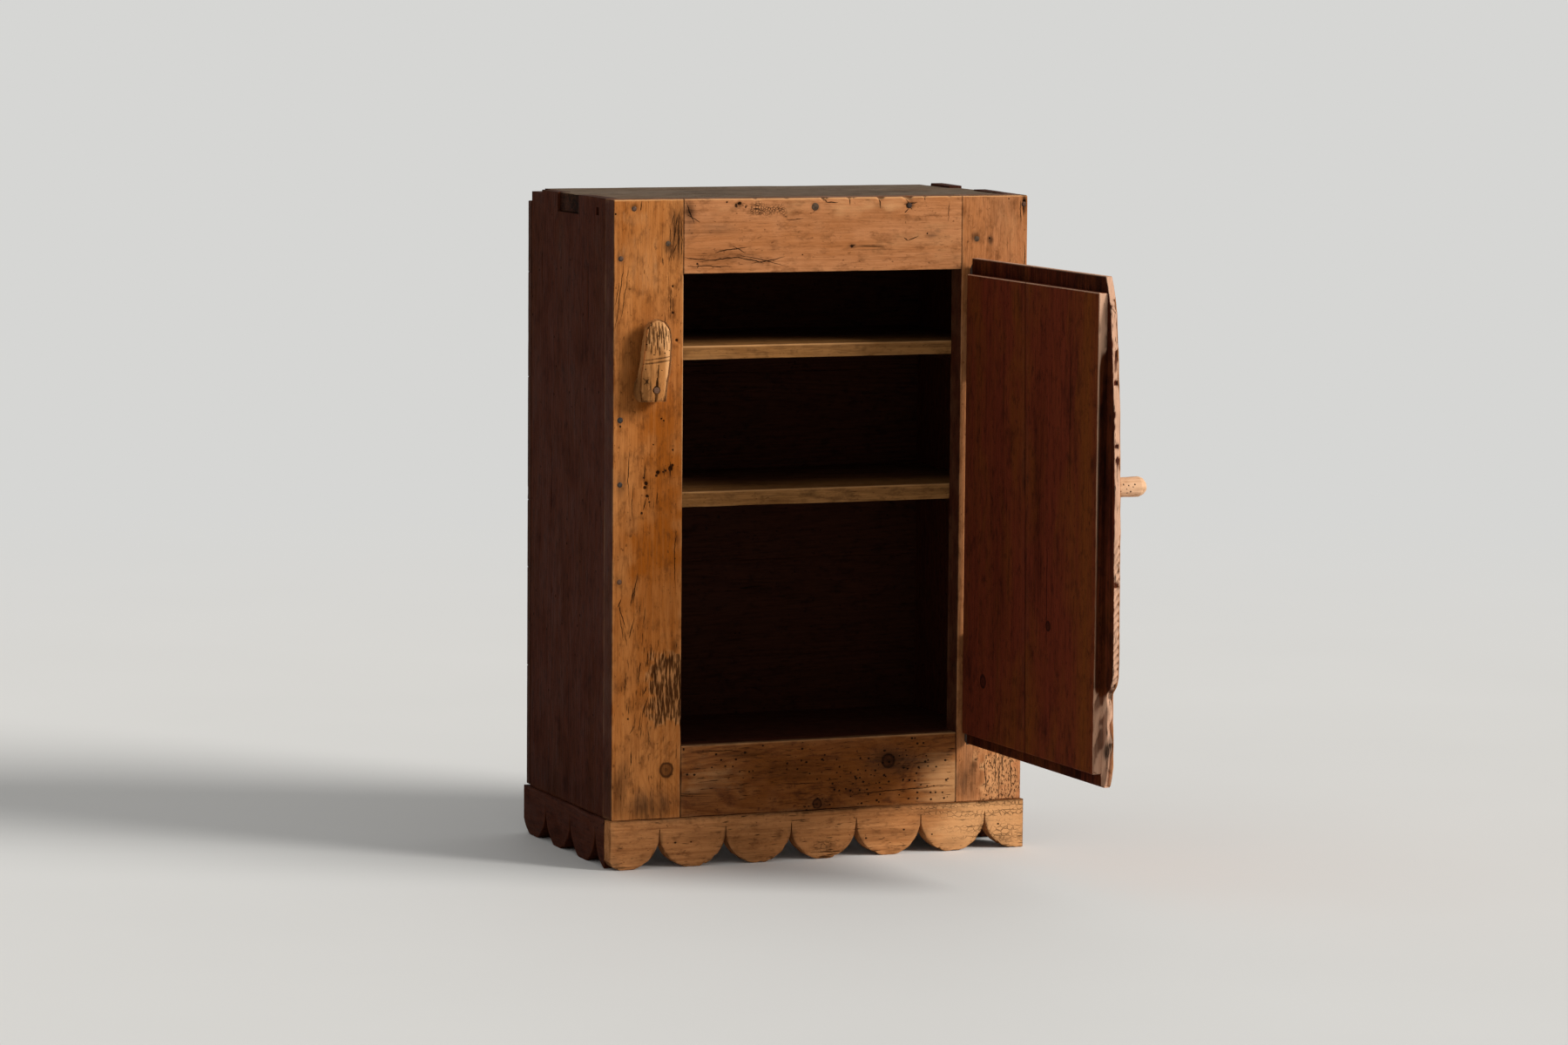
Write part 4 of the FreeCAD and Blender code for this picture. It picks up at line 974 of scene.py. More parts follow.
def make_bottom_rail():
    rail = frame_board(*between_stiles("bottom_rail"), (2.8, 30, 2.4), 4, 1.6, 3.4, along=0, depth=0.5)
    x, y, z = rail.rest.T
    rail.wash("worm", 0.5, (330, 90), (600, 180), 70)
    rail.wash("worm", 0.15, (121, 140), (300, 200), 40)
    # Paler towards the right end and the foot: painted light that passes under the open door
    rail.stain("pale", 0.6 * smooth(470, 600, x - LEFT) * smooth(215, 130, z))
    rail.wash("pale", 0.45, (121, 110), (230, 185), 60)
    rail.wash("amber", 0.9, (240, 100), (520, 200), 90)
    rail.wash("torn", 0.25, (121, 84), (616, 200), 20)
    upper_arris = smooth(rail.high[2] - 4.5, rail.high[2] - 1.5, z) * (y < FRONT + 9)
    rail.stain("pale", 0.5 * upper_arris)
    dark_joints(rail)
    return build(rail, "bottom_rail", rail_wood_bottom, 0, 2)


make_left_stile()
make_right_stile()
make_top_rail()
make_bottom_rail()


# The case

# The part of the top board that runs out over the sides, from front to back
TONGUE = (-39.0, 63.0)
REAR_STEP_LENGTH, REAR_STEP_DROP = 50, 5
# The square slot in the outer face of the left side, near its top
SLOT_DEPTH, SLOT_SIZE = 6, 13
SLOT_FROM_FRONT, SLOT_FROM_TOP = 74, 16


def scratch(board, face, places, deep, dirty, wander):
    """Long dirty scratches in a face: start, end and width."""
    for start, end, width in places:
        near = board.gash(face, start, end, width, wander)
        board.sink(deep * near)
        board.stain("dirt_and_shade", dirty * smooth(0.1, 0.6, near))


def make_side(name, rise):
    """A side board, notched for the top board's tongue. Its upper end rises towards the back by rise."""
    low, high = extent(name)
    high[2] = HEIGHT
    on_left = low[0] < 0
    face = "left" if on_left else "right"
    step_y = high[1] - REAR_STEP_LENGTH
    step_floor = HEIGHT - REAR_STEP_DROP
    notch_floor = extent("top_board")[0][2]
    slot_x = low[0] + SLOT_DEPTH
    slot_y = (FRONT + SLOT_FROM_FRONT, FRONT + (SLOT_FROM_FRONT + SLOT_SIZE))
    slot_z = (HEIGHT - (SLOT_FROM_TOP + SLOT_SIZE), HEIGHT - SLOT_FROM_TOP)

    def solid(x, y, z):
        notch = (y > TONGUE[0]) & (y < TONGUE[1]) & (z > notch_floor)
        step = (y > step_y) & (z > step_floor)
        slot = (x < slot_x) & (y > slot_y[0]) & (y < slot_y[1]) & (z > slot_z[0]) & (z < slot_z[1])
        return ~(notch | step | (slot & on_left))

    extra = ((slot_x,) if on_left else (), (*TONGUE, step_y, *slot_y), (notch_floor, step_floor, *slot_z))
    side = Board.sawn(low, high, (24, 4.5, 5.0), 5 if on_left else 6, solid, extra, close=(1.0, 2.5, 5))
    side.ease(1.0, 2.4)
    side.plane(2, 0.6, 46)
    if rise:
        back_share = np.clip((side.rest[:, 1] - low[1]) / (step_y - low[1]), 0, 1)
        crest = smooth(HEIGHT - 40, HEIGHT, side.rest[:, 2]) * (side.rest[:, 1] < step_y + 1)
        side.points[:, 2] += rise * 0.95 * back_share * crest
    # Upward faces greyed like the top: partly a painted sheen
    side.stain("grey", 0.8 * (side.normals[:, 2] > 0.6))
    side.stain("dirt_and_shade", 0.5 * side.patch(face, (0, 82), (420, 130), 40) * side.noise((20, 20, 30), 17))
    side.stain("worm", 0.05)
    scratches = (((120, 1060), (128, 820), 2.2), ((300, 700), (296, 420), 2.0), ((210, 380), (214, 180), 2.0),
                 ((60, 620), (64, 500), 1.8), ((350, 1000), (346, 900), 2.0))
    scratch(side, face, scratches, 1.4, 0.8, 3.0)
    smudges = (((140, 985), (20, 6)), ((250, 905), (9, 12)), ((110, 300), (16, 22)), ((260, 560), (12, 16)))
    for at, size in smudges:
        side.stain("dirt_and_shade", 0.6 * side.spot(face, at, size, 0.7))
    return build(side, name, side_wood, 2, 1)


def make_top():
    """The top board: it lies between the sides, and only its tongue runs out over them."""
    low, high = extent("top_board")
    inner = extent("left_side_board")[1][0]

    def solid(x, y, z):
        return (np.abs(x) < -inner) | ((y > TONGUE[0]) & (y < TONGUE[1]))

    top = Board.sawn(low, high, (5.0, 5.0, 30), 7, solid, ((inner, -inner), TONGUE, ()), close=(1.0, 2.5, 5))
    top.ease(0.8, 0.8)
    top.plane(0, 0.7, 50)
    scratches = (((60, 120), (420, 128), 2.4), ((300, 260), (640, 252), 2.4), ((120, 330), (360, 336), 2.0))
    scratch(top, "top", scratches, 1.6, 0.85, 5.0)
    top.stain("grey", 0.3 * top.patch("top", (180, 90), (520, 300), 120))
    top.stain("dirt_and_shade", 0.5 * top.spot("top", (560, 180), (60, 50), 0.8, 20))
    top.stain("dirt_and_shade", 0.4 * top.spot("top", (230, 240), (50, 40), 0.8, 20))
    end_grain = (np.abs(top.normals[:, 0]) > 0.5) * 1.0
    # The tongue's end grain is darkened: painted shade
    top.stain("shade_swap", end_grain)
    top.stain("dirt_and_shade", end_grain)
    return build(top, "top_board", top_wood, 0, 1)


def lay_board(name, seed):
    """A planed board that lies flat inside the case."""
    board = Board.sawn(*extent(name), (5.0, 5.0, 5.0), seed, close=(0.9, 2.4, 5))
    board.ease(1.1, 2.0)
    board.plane(0, 0.6, 50)
    return board


def make_shelf(name, seed):
    """A shelf, rubbed pale along its front edge and darker towards the back, which is painted shade, as on
    its other faces.
    """
    shelf = lay_board(name, seed)
    y, z = shelf.rest[:, 1], shelf.rest[:, 2]
    # Faces that face neither the front nor up take the away tone: painted shade
    shelf.stain("shade_swap", 1 - smooth(0.5, 0.8, np.maximum(-shelf.normals[:, 1], shelf.normals[:, 2])))
    shelf.stain("pale", 0.6 * smooth(FRONT + 62, FRONT + 44, y) * (z > shelf.high[2] - 3))
    facing_up = shelf.normals[:, 2] > 0.5
    # Darker towards the back of the top: painted shade
    shelf.stain("dirt_and_shade", 0.5 * facing_up * smooth(FRONT + 70, FRONT + 200, y))
    shelf.stain("shade_swap", 0.75 * facing_up * smooth(FRONT + 60, FRONT + 240, y))
    return build(shelf, name, shelf_wood, 0, 1)


def make_floor_board():
    board = lay_board("floor_board", 10)
    board.unrubbed()
    return build(board, "floor_board", inside_wood, 0, 1)


def make_cleat(name, seed):
    cleat = Board.sawn(*extent(name), (12, 14, 12), seed, close=(0.9, 2.6))
    cleat.ease(0.9, 1.2)
    cleat.plane(1, 0.4, 20)
    cleat.unrubbed()
    return build(cleat, name, inside_wood, 1, 2)


def make_corner_block(name, seed):
    """A block in a corner of the plinth. The front ones are notched round the foot of a stile."""
    foot = extent("left_stile")[0][2]
    shoulder = extent("left_stile")[1][1]

    def notched(x, y, z):
        return (y > shoulder) | (z < foot)

    shape = dict(solid=notched, extra=((), (shoulder,), (foot,))) if name.startswith("front") else {}
    block = Board.sawn(*extent(name), (12, 12, 12), seed, close=(0.9, 2.6), **shape)
    block.ease(0.9, 1.2)
    block.unrubbed()
    return build(block, name, inside_wood, 2, 0)


BACK_BOARDS = ("lowest", "second", "third", "fourth", "fifth", "highest")
BACK_GAP = extent("back_board_second")[0][2] - extent("back_board_lowest")[1][2]


def make_back_board(level, seed):
    """A rough board of the back. The back boards have swollen until they touch."""
    low, high = extent("back_board_" + level)
    low[2] -= 0 if level == BACK_BOARDS[0] else BACK_GAP / 2
    high[2] += 0 if level == BACK_BOARDS[-1] else BACK_GAP / 2
    board = Board.sawn(low, high, (6.5, 16, 6.0), seed, close=(0.9, 2.4, 5))
    board.ease(1.2, 2.6)
    board.plane(0, 0.7, 60)
    board.unrubbed()
    weathered, browned, greyed = np.random.default_rng(seed).uniform(0, 0.5, 3)
    outer = board.normals[:, 1] > 0.5
    board.sink(outer * 2.4 * weathered)
    board.stain("amber", browned)
    board.stain("grey", 0.8 * greyed * outer)
    from_joint = np.minimum(board.rest[:, 2] - low[2], high[2] - board.rest[:, 2])
    board.stain("dirt_and_shade", 0.9 * np.exp(-from_joint / 2.5) * outer)
    board.stain("worm", 0.06)
    return build(board, "back_board_" + level, back_wood, 0, 2)


make_side("left_side_board", 0)
make_side("right_side_board", 4.0)
make_top()
make_shelf("upper_shelf", 8)
make_shelf("lower_shelf", 9)
make_floor_board()
for count, level in enumerate(("upper_shelf", "lower_shelf", "floor")):
    make_cleat(level + "_left_cleat", 20 + 2 * count)
    make_cleat(level + "_right_cleat", 21 + 2 * count)
for count, end in enumerate(("front", "rear")):
    make_corner_block(end + "_left_block", 30 + 2 * count)
    make_corner_block(end + "_right_block", 31 + 2 * count)
for count, level in enumerate(BACK_BOARDS):
    make_back_board(level, 40 + count)


# The scalloped plinth

# The scallops are half-rounds about points at this level, with a saw cut at each cusp
LOBE_LEVEL = 57.5
KERF = 2.6
KERF_TOP = 62.0
# From a skirt's end to its first cusp, from cusp to cusp, and the number of cusps
FRONT_FIRST, FRONT_PITCH, FRONT_CUSPS = 83.6, 116.9, 6
SIDE_FIRST, SIDE_PITCH, SIDE_CUSPS = 69.0, 121.0, 3
# The lower left corner of the front skirt is broken off: how long and how high
BROKEN_CORNER = (10.0, 14.0)


def scallops(start, end, first_cusp, pitch, cusps, corner=None):
    """Places along a skirt, and the height of its sawn edge at each."""
    radius = pitch / 2
    last = first_cusp + pitch * (cusps - 1)
    centres = [first_cusp - radius + pitch * count for count in range(cusps + 1)]
    places = []
    for centre in centres:
        for share in np.linspace(-1, 1, 47):
            x = centre + radius * math.sin(share * math.pi / 2)
            inside = min(abs(x - (first_cusp + pitch * count)) for count in range(cusps)) > KERF / 2 + 0.05
            if start < x < end and inside:
                places.append(x)
    for count in range(cusps):
        cusp = first_cusp + pitch * count
        places += [cusp - KERF / 2, cusp - KERF / 4, cusp, cusp + KERF / 4, cusp + KERF / 2]
    ends = [start, start + 1, start + 2.4, start + 5, end - 5, end - 2.4, end - 1, end]
    places = np.array(sorted(set(ends + places)))
    nearest = np.array([min(centres, key=lambda c: abs(c - x)) for x in places])
    edge = LOBE_LEVEL - np.sqrt(np.clip(radius ** 2 - (places - nearest) ** 2, 0, None))
    for count in range(cusps):
        edge = np.where(np.abs(places - (first_cusp + pitch * count)) < KERF / 4 + 0.01, KERF_TOP, edge)
    edge = np.clip(edge, 0, None)
    if corner:
        edge = np.maximum(edge, corner[1] * (1 - (places - start) / corner[0]))
    return places, edge, nearest, radius


def make_skirt(name, run, depth_run, first_cusp, pitch, cusps, seed, corner=None):
    """A skirt board on its own: its length along x, its outer face at y = 0, and how far each point of
    it is from the sawn edge. run and depth_run are where the board starts and ends."""
    places, edge, nearest, radius = scallops(*run, first_cusp, pitch, cusps, corner)
    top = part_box(name)[1].z / MM
    shares = np.array([0, 0.015, 0.04, 0.08, 0.13, *np.linspace(0.2, 0.8, 20), 0.87, 0.93, 0.97, 1.0])
    depths = cuts(0, abs(depth_run[1] - depth_run[0]), 9, close=(0.9, 2.2, 4.5))
    index = [np.arange(len(line), dtype=float) for line in (places, depths, shares)]
    points, quads, normals = skin(*index)
    i, j, k = points.round().astype(int).T
    x, low_edge, depth, share = places[i], edge[i], depths[j], shares[k]

    # A nibbled and chipped lower edge, and an upper edge that wanders a little
    nibble = noise(np.column_stack([x, depth * 0.3, depth * 0]) + 500, (4.2, 14, 5), seed) ** 2 * 2.2
    chip = noise(np.column_stack([x, depth * 0.2, depth * 0]) + 700, (9, 20, 5), seed + 3)
    nibble = nibble + 3.0 * smooth(0.74, 0.95, chip)
    low_edge = np.where(low_edge > 0.3, low_edge + nibble, low_edge + nibble * 0.5)
    wander = noise(np.column_stack([x, x * 0, x * 0]) + 300, (70, 1, 1), seed + 1)
    wave = 0.3 + 1.5 * smooth(0.35, 0.9, wander)
    z = low_edge + (top - wave - low_edge) * share
    shell = (np.column_stack([x, depth, z]), quads, normals)
    board = Board(shell, (run[0], 0, 0), (run[1], depths[-1], top), seed)

    # Round the sawn edge by how far each point is from it
    from_edge = np.where(z < LOBE_LEVEL, radius - np.hypot(x - nearest[i], z - LOBE_LEVEL), z - low_edge)
    from_edge = np.clip(np.minimum(from_edge, top - wave - z), 0, None)
    from_end = np.minimum(x - run[0], run[1] - x)
    near = np.minimum(from_edge, from_end)
    r = 1.4 + 1.8 * smooth(0.5, 0.9, board.noise(14, 1)) + board.noise(5, 2)
    back_off = r - np.sqrt(np.clip(r ** 2 - np.clip(r - near, 0, None) ** 2, 0, None))
    board.points[:, 1] += np.where(j == 0, back_off, np.where(j == len(depths) - 1, -back_off, 0))
    board.arris = np.exp(-near / 3.0) * (j == 0)
    board.sink((0.5 * board.noise((70, 30, 20), 3) + 0.5 * board.noise((22, 10, 9), 4)) * (j == 0))
    return board, from_edge


def place_skirt(board, name, material, origin, flip):
    """Stand a skirt board in its place: origin gives the outer face, flip the side that it faces."""
    def put(points):
        x, depth, z = points.T
        if flip == "front":
            return np.column_stack([x, origin + depth, z])
        if flip == "left":
            return np.column_stack([origin + depth, x, z])
        return np.column_stack([origin - depth, x, z])
    if flip == "left":
        board.quads = board.quads[:, ::-1]
    return build(board, name, material, 0, 2, place=put)


def make_front_skirt():
    low, high = extent("front_skirt")
    skirt, from_edge = make_skirt("front_skirt", (low[0], high[0]), (low[1], high[1]), LEFT + FRONT_FIRST,
                                  FRONT_PITCH, FRONT_CUSPS, 50, BROKEN_CORNER)
    on_face = skirt.normals[:, 1] < -0.5
    across, up = skirt.rest[:, 0] - LEFT, skirt.rest[:, 2]

    def about(at, size):
        """1 at a place on the face, falling off over size."""
        return on_face * np.exp(-(((across - at[0]) / size[0]) ** 2 + ((up - at[1]) / size[1]) ** 2))

    skirt.stain("crazed", 0.45 * about((372, 24), (36, 26)))
    skirt.stain("crazed", 0.4 * about((575, 68), (60, 16)))
    skirt.stain("torn", 0.3 * about((372, 16), (30, 18)))
    skirt.stain("torn", 0.14 * on_face + 0.2 * on_face * smooth(26, 4, up))
    skirt.stain("crazed", 0.12 * on_face + 0.22 * on_face * smooth(520, 700, across))
    # Paler towards the right end: painted light that passes under the open door
    skirt.stain("pale", 0.8 * on_face * smooth(440, 660, across))
    grimy = 0.55 * on_face * smooth(0.5, 0.75, skirt.noise((5, 9, 7), 21))
    skirt.stain("dirt_and_shade", grimy * np.exp(-from_edge / 5.0))
    # Pale line along the top edge, on the left: painted highlight
    skirt.stain("pale", 0.5 * on_face * smooth(76, 80.5, up) * smooth(500, 200, across))
    # Dark line under the bottom rail: painted shadow in the joint, with some dirt
    skirt.stain("dirt_and_shade", 0.75 * on_face * np.exp(-(82 - up) / 2.0))
    skirt.stain("dirt_and_shade", 0.5 * on_face * skirt.arris)
    return place_skirt(skirt, "front_skirt", skirt_wood, low[1], "front")


def make_side_skirt(name, flip, seed):
    low, high = extent(name)
    skirt, _ = make_skirt(name, (low[1], high[1]), (low[0], high[0]), FRONT + SIDE_FIRST,
                          SIDE_PITCH, SIDE_CUSPS, seed)
    skirt.stain("worm", 0.06)
    return place_skirt(skirt, name, side_skirt_wood, low[0] if flip == "left" else high[0], flip)


make_front_skirt()
make_side_skirt("left_skirt", "left", 51)
make_side_skirt("right_skirt", "right", 52)


# The door, shaped closed and then swung to where it rests

HINGE = np.array([266.5, -215.5])
REST_ANGLE = math.radians(91.25)
LIP_FRONT, LIP_BACK, PANEL_BACK = -221.5, -209.5, -194.5
PANEL_LEFT, PANEL_RIGHT = -243.5, 245.5
PANEL_BOTTOM, PANEL_TOP = 203.5, 971.5
LIP_BOTTOM, LIP_TOP, LIP_RIGHT = 183.0, 997.0, 259.0
# The line where the two boards meet, from the right side of the opening, and the cells that are drawn to it
OPENING_RIGHT = 248.5
JOINT_AT_BOTTOM, JOINT_AT_TOP = 246.0, 223.0
SEAM = 10.0
# The tree's own edge: height as a share of the lip's, and how much of EDGE_REACH it goes out from EDGE_IN.
# The cells that are drawn to it start at EDGE_OUT
EDGE_IN, EDGE_REACH, EDGE_OUT = -246.5, 36.0, -282.0
LIVE_EDGE = (
    (0.0, 0.24), (0.02, 0.45), (0.044, 0.58), (0.084, 0.59), (0.13, 0.47), (0.187, 0.47), (0.20, 0.76),
    (0.219, 0.96), (0.286, 0.99), (0.44, 0.93), (0.56, 0.88), (0.66, 0.85), (0.744, 0.70),
    (0.812, 0.57), (0.93, 0.31), (0.963, 0.08), (0.98, -0.07), (1.0, -0.28),
)
LEAF_LEFT, LEAF_BACK = 228.5, -219.0
LEAF_HEIGHTS = [(extent(name)[0][2], extent(name)[1][2])
                for name in ("lower_hinge_door_leaf", "upper_hinge_door_leaf")]


def swung(points):
    """Where the points of the closed door are when it stands open at rest."""
    return turned(points, REST_ANGLE, HINGE)


def joint_line(z):
    """Where the door's two boards meet: the line leans a little."""
    share = (z - LIP_BOTTOM + 2) / (LIP_TOP - LIP_BOTTOM + 4)
    return OPENING_RIGHT - (JOINT_AT_BOTTOM + (JOINT_AT_TOP - JOINT_AT_BOTTOM) * share)


def door_solid(x, y, z):
    """Cells of the slab: the lip everywhere, the panel where it fits the opening, beds for the hinges."""
    panel = (x > PANEL_LEFT) & (x < PANEL_RIGHT) & (z > PANEL_BOTTOM) & (z < PANEL_TOP)
    kept = (y < LIP_BACK) | panel
    for bottom, top in LEAF_HEIGHTS:
        kept = kept & ~((x > LEAF_LEFT) & (y < LEAF_BACK) & (z > bottom) & (z < top))
    return kept


def door_board(x_low, x_high, step, x_extra, seed):
    """One board of the closed door, between two places across it."""
    levels = (PANEL_BOTTOM, PANEL_TOP, *(z for pair in LEAF_HEIGHTS for z in pair))
    shell = skin(cuts(x_low, x_high, step, x_extra, (0.9, 2.4, 5)),
                 cuts(LIP_FRONT, PANEL_BACK, 3, (LIP_BACK, LEAF_BACK), (0.9, 2.4)),
                 cuts(LIP_BOTTOM, LIP_TOP, step, levels, (0.9, 2.4, 5)), door_solid)
    return Board(shell, shell[0].min(0), shell[0].max(0), seed)


def blunt(board, least, ragged):
    """Take the arrises of a door board back by an uneven amount."""
    edge = (np.abs(board.normals) > 0.3).sum(1) > 1
    board.sink(np.where(edge, least + ragged * board.noise(12, 1), 0))


def long_hollows(board):
    """The hollows that a plane has left along the grain of both faces."""
    board.sink(0.45 * board.noise((40, 40, 260), 3) * (np.abs(board.normals[:, 1]) > 0.9))


def polish_front(board):
    """The outer face has the same polish and pine tone as the frame; the inner one is dark, partly its own
    tone and partly painted shade.
    """
    board.stain("shade_swap", smooth(0.5, 0.9, -board.normals[:, 1]) * (board.rest[:, 1] < LIP_BACK - 4))


def bright_arrises(board):
    """Thin pale lines where the panel steps down to the lip, painted highlights on worn arrises, and a lip
    that is nearly black behind with painted shade.
    """
    x, y, z = board.rest.T
    board.arris = board.arris * smooth(3, 9, np.abs(x - joint_line(z)))
    on_panel = (y > PANEL_BACK - 2.5) & (x > PANEL_LEFT - 2) & (z > PANEL_BOTTOM - 2)
    side_line = smooth(PANEL_LEFT + 1.6, PANEL_LEFT + 0.4, x)
    upright = side_line * (0.6 + 0.25 * smooth(560, 900, z))
    # Pale lines on the panel's top and side arrises: painted highlights on worn edges
    board.stain("pale", on_panel * np.maximum(0.9 * smooth(PANEL_TOP - 2.2, PANEL_TOP - 0.6, z), upright))
    board.stain("amber", 0.9 * on_panel * side_line)
    # Pale upper edge of the lip: painted highlight
    board.stain("pale", 0.7 * (z > LIP_TOP - 1.2))
    board.stain("dirt_and_shade", 0.9 * np.exp(-np.abs(x - joint_line(z)) / 1.3) * (y > PANEL_BACK - 1))
    # The lip's back face darkened: painted shade
    behind = (board.normals[:, 1] > 0.5) & (np.abs(y - LIP_BACK) < 0.5)
    board.stain("dirt_and_shade", 0.8 * behind)
    return behind


def make_hinge_board():
    board = door_board(SEAM, LIP_RIGHT, 4.0, (PANEL_RIGHT, LEAF_LEFT), 60)
    x, y, z = board.points.T
    share = np.clip((PANEL_RIGHT - 20 - x) / (PANEL_RIGHT - 20 - SEAM), 0, 1)
    board.points[:, 0] = x + (joint_line(z) - 0.05 - SEAM) * share
    board.rest = board.points.copy()
    blunt(board, 0.7, 0.9)
    long_hollows(board)
    polish_front(board)
    bright_arrises(board)
    return build(board, "door_hinge_board", door_wood, 2, 0, body="door", place=swung)


def draw_live_edge(board):
    """Move the cells of the edge board out to the tree's own edge, and in to the joint."""
    x, y, z = board.points.T
    shares, reach = np.array(LIVE_EDGE).T
    heights = LIP_BOTTOM + (LIP_TOP - LIP_BOTTOM) * shares
    edge_x = EDGE_IN - EDGE_REACH * np.interp(z, heights, reach)
    bark = np.column_stack([z, y * 0.5, z * 0]) + 900
    edge_x = edge_x + 3.0 * noise(bark, (30, 9, 1), 61) + 1.2 * noise(bark, (9, 9, 1), 62) - 0.4
    split = np.where(z > PANEL_TOP + 1, np.maximum(PANEL_LEFT, edge_x + 8), PANEL_LEFT)
    in_lip = np.clip((x - EDGE_OUT) / (PANEL_LEFT - EDGE_OUT), 0, 1)
    in_panel = np.clip((x - PANEL_LEFT) / (SEAM - PANEL_LEFT), 0, 1)
    across_lip = edge_x + (split - edge_x) * in_lip
    across_panel = split + (joint_line(z) + 0.05 - split) * in_panel
    board.points[:, 0] = np.where(x <= PANEL_LEFT, across_lip, across_panel)
    board.rest = board.points.copy()


def make_edge_board():
    board = door_board(EDGE_OUT, SEAM, 3.2, (PANEL_LEFT,), 61)
    draw_live_edge(board)
    blunt(board, 0.8, 1.2)
    x, y, z = board.rest.T
    outer = board.normals[:, 0] < -0.5
    lip_edge = outer & (x < PANEL_LEFT - 5)
    panel_edge = outer & ~lip_edge

    # The tree's own edge: lumps and dark pits under the lost bark
    lumps = board.noise((11, 8, 16), 5)
    pitted = smooth(0.54, 0.72, board.noise((8, 7, 10), 6)) * smooth(0.35, 0.65, board.noise(30, 15))
    slants = np.abs((z + 1.2 * y + 8 * board.noise(24, 17)) / 13.0 % 1 - 0.5) * 2
    slants = slants * smooth(330, 350, z) * smooth(640, 560, z)
    burr = np.exp(-((z - 257) / 13) ** 2)
    low_hollow = smooth(300, 280, z) * (1 - burr) * 3.0
    deep = lumps * 2.4 + pitted * 2.0 + 1.6 * smooth(0.4, 0.9, slants) + low_hollow
    board.sink(np.where(lip_edge, deep, 0))
    board.stain("dirt_and_shade", lip_edge * np.clip(0.8 * pitted + 0.6 * smooth(0.6, 0.95, slants), 0, 1))
    board.stain("grey", 0.8 * lip_edge * burr)
    board.stain("torn", 0.3 * lip_edge)

    # The lowest part of the edge was cut away with a knife, in long slanting strokes
    cut_low = (1 - smooth(325, 345, z)) * (x < PANEL_LEFT + 1) * (board.normals[:, 1] > -0.5)
    strokes = noise(np.column_stack([y + 0.6 * x + 0.4 * z, z * 0, z]) + 3000, (7.0, 1, 32), 63)
    between_strokes = smooth(0.11, 0.02, np.abs(strokes - 0.5)) * smooth(0.3, 0.5, board.noise(20, 18))
    board.sink(cut_low * (6.5 * strokes + 1.0 * between_strokes) * panel_edge)
    board.sink(cut_low * 2.5 * strokes * (board.normals[:, 1] > 0.5))
    valley = smooth(0.42, 0.62, strokes)
    board.stain("dirt_and_shade", 0.3 * cut_low * valley)
    hole = np.exp(-((z - 242) / 11) ** 2 - ((x + 258) / 10) ** 2 - ((y + 210) / 4) ** 2)
    board.sink(4.0 * hole)
    long_hollows(board)
    polish_front(board)
    behind = bright_arrises(board)
    # Less painted shade behind the lip along the carved foot
    board.marks["dirt_and_shade"] = board.marks["dirt_and_shade"] * np.where(behind, 1 - cut_low, 1)
    # The hollow is darkened: painted shadow in it
    board.stain("dirt_and_shade", 1.7 * hole)
    # The carved foot is pale: bare knife-cut wood, brightened further with painted light
    board.stain("pale", cut_low * (1.0 - 0.4 * valley))
    board.stain("pale", 0.95 * lip_edge * (1 - pitted))

    # The step down to the lip: torn and pale at the upper end, with painted light; dark and plain below, with
    # the lip's painted shadow
    torn_end = smooth(862, 885, z + 2.4 * (y + 200) + 16 * board.noise((9, 9, 20), 19))
    board.stain("pale", panel_edge * torn_end)
    plain_step = panel_edge * (1 - torn_end) * (1 - cut_low)
    board.arris = board.arris * (1 - 0.6 * plain_step)
    board.stain("dirt_and_shade", plain_step * np.where(y < PANEL_BACK - 2.0, 0.85, 0.0))
    board.stain("dirt_and_shade", 0.7 * panel_edge * torn_end * smooth(0.52, 0.74, board.noise((6, 6, 22), 23)))
    board.stain("amber", 0.9 * (y > PANEL_BACK - 0.5) * np.exp(-((x + 210) / 30) ** 2))
    return build(board, "door_edge_board", door_wood, 2, 0, body="door", place=swung)


make_hinge_board()
make_edge_board()


# The knob, the turn button and the hinge leaves: the CAD shapes as fine meshes, worked by hand

def fine_copy(node, name, voxel):
    """A fine, even copy of a CAD node's shape, with its points and normals in millimetres."""
    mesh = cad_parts[node].data.copy()
    piece = new_object(name + "_rough", mesh)
    weld = piece.modifiers.new("weld", "WELD")
    weld.merge_threshold = 0.00001
    remesh = piece.modifiers.new("remesh", "REMESH")
    remesh.mode = "VOXEL"
    remesh.voxel_size = voxel * MM
    fine = shaped_mesh(piece)
    fine.name = name
    made = new_object(name, fine)
    fine.polygons.foreach_set("use_smooth", [True] * len(fine.polygons))
    points = np.zeros(len(fine.vertices) * 3, np.float32)
    fine.vertices.foreach_get("co", points)
    normals = np.zeros(len(fine.vertices) * 3, np.float32)
    fine.vertex_normals.foreach_get("vector", normals)
    return made, points.reshape(-1, 3).astype(float) / MM, normals.reshape(-1, 3).astype(float)


def reshape(piece, points):
    """Move a piece's points, and keep their places for the marks of its material."""
    piece.data.vertices.foreach_set("co", (points * MM).astype(np.float32).ravel())
    piece.data.update()
    attribute(piece, "bench", points * MM)


KNOB_HOLES = ((-14, 3), (-9, -5), (-4, 6), (1, -2), (5, 4), (9, -6), (13, 1), (-17, -3), (16, 5), (3, -8))


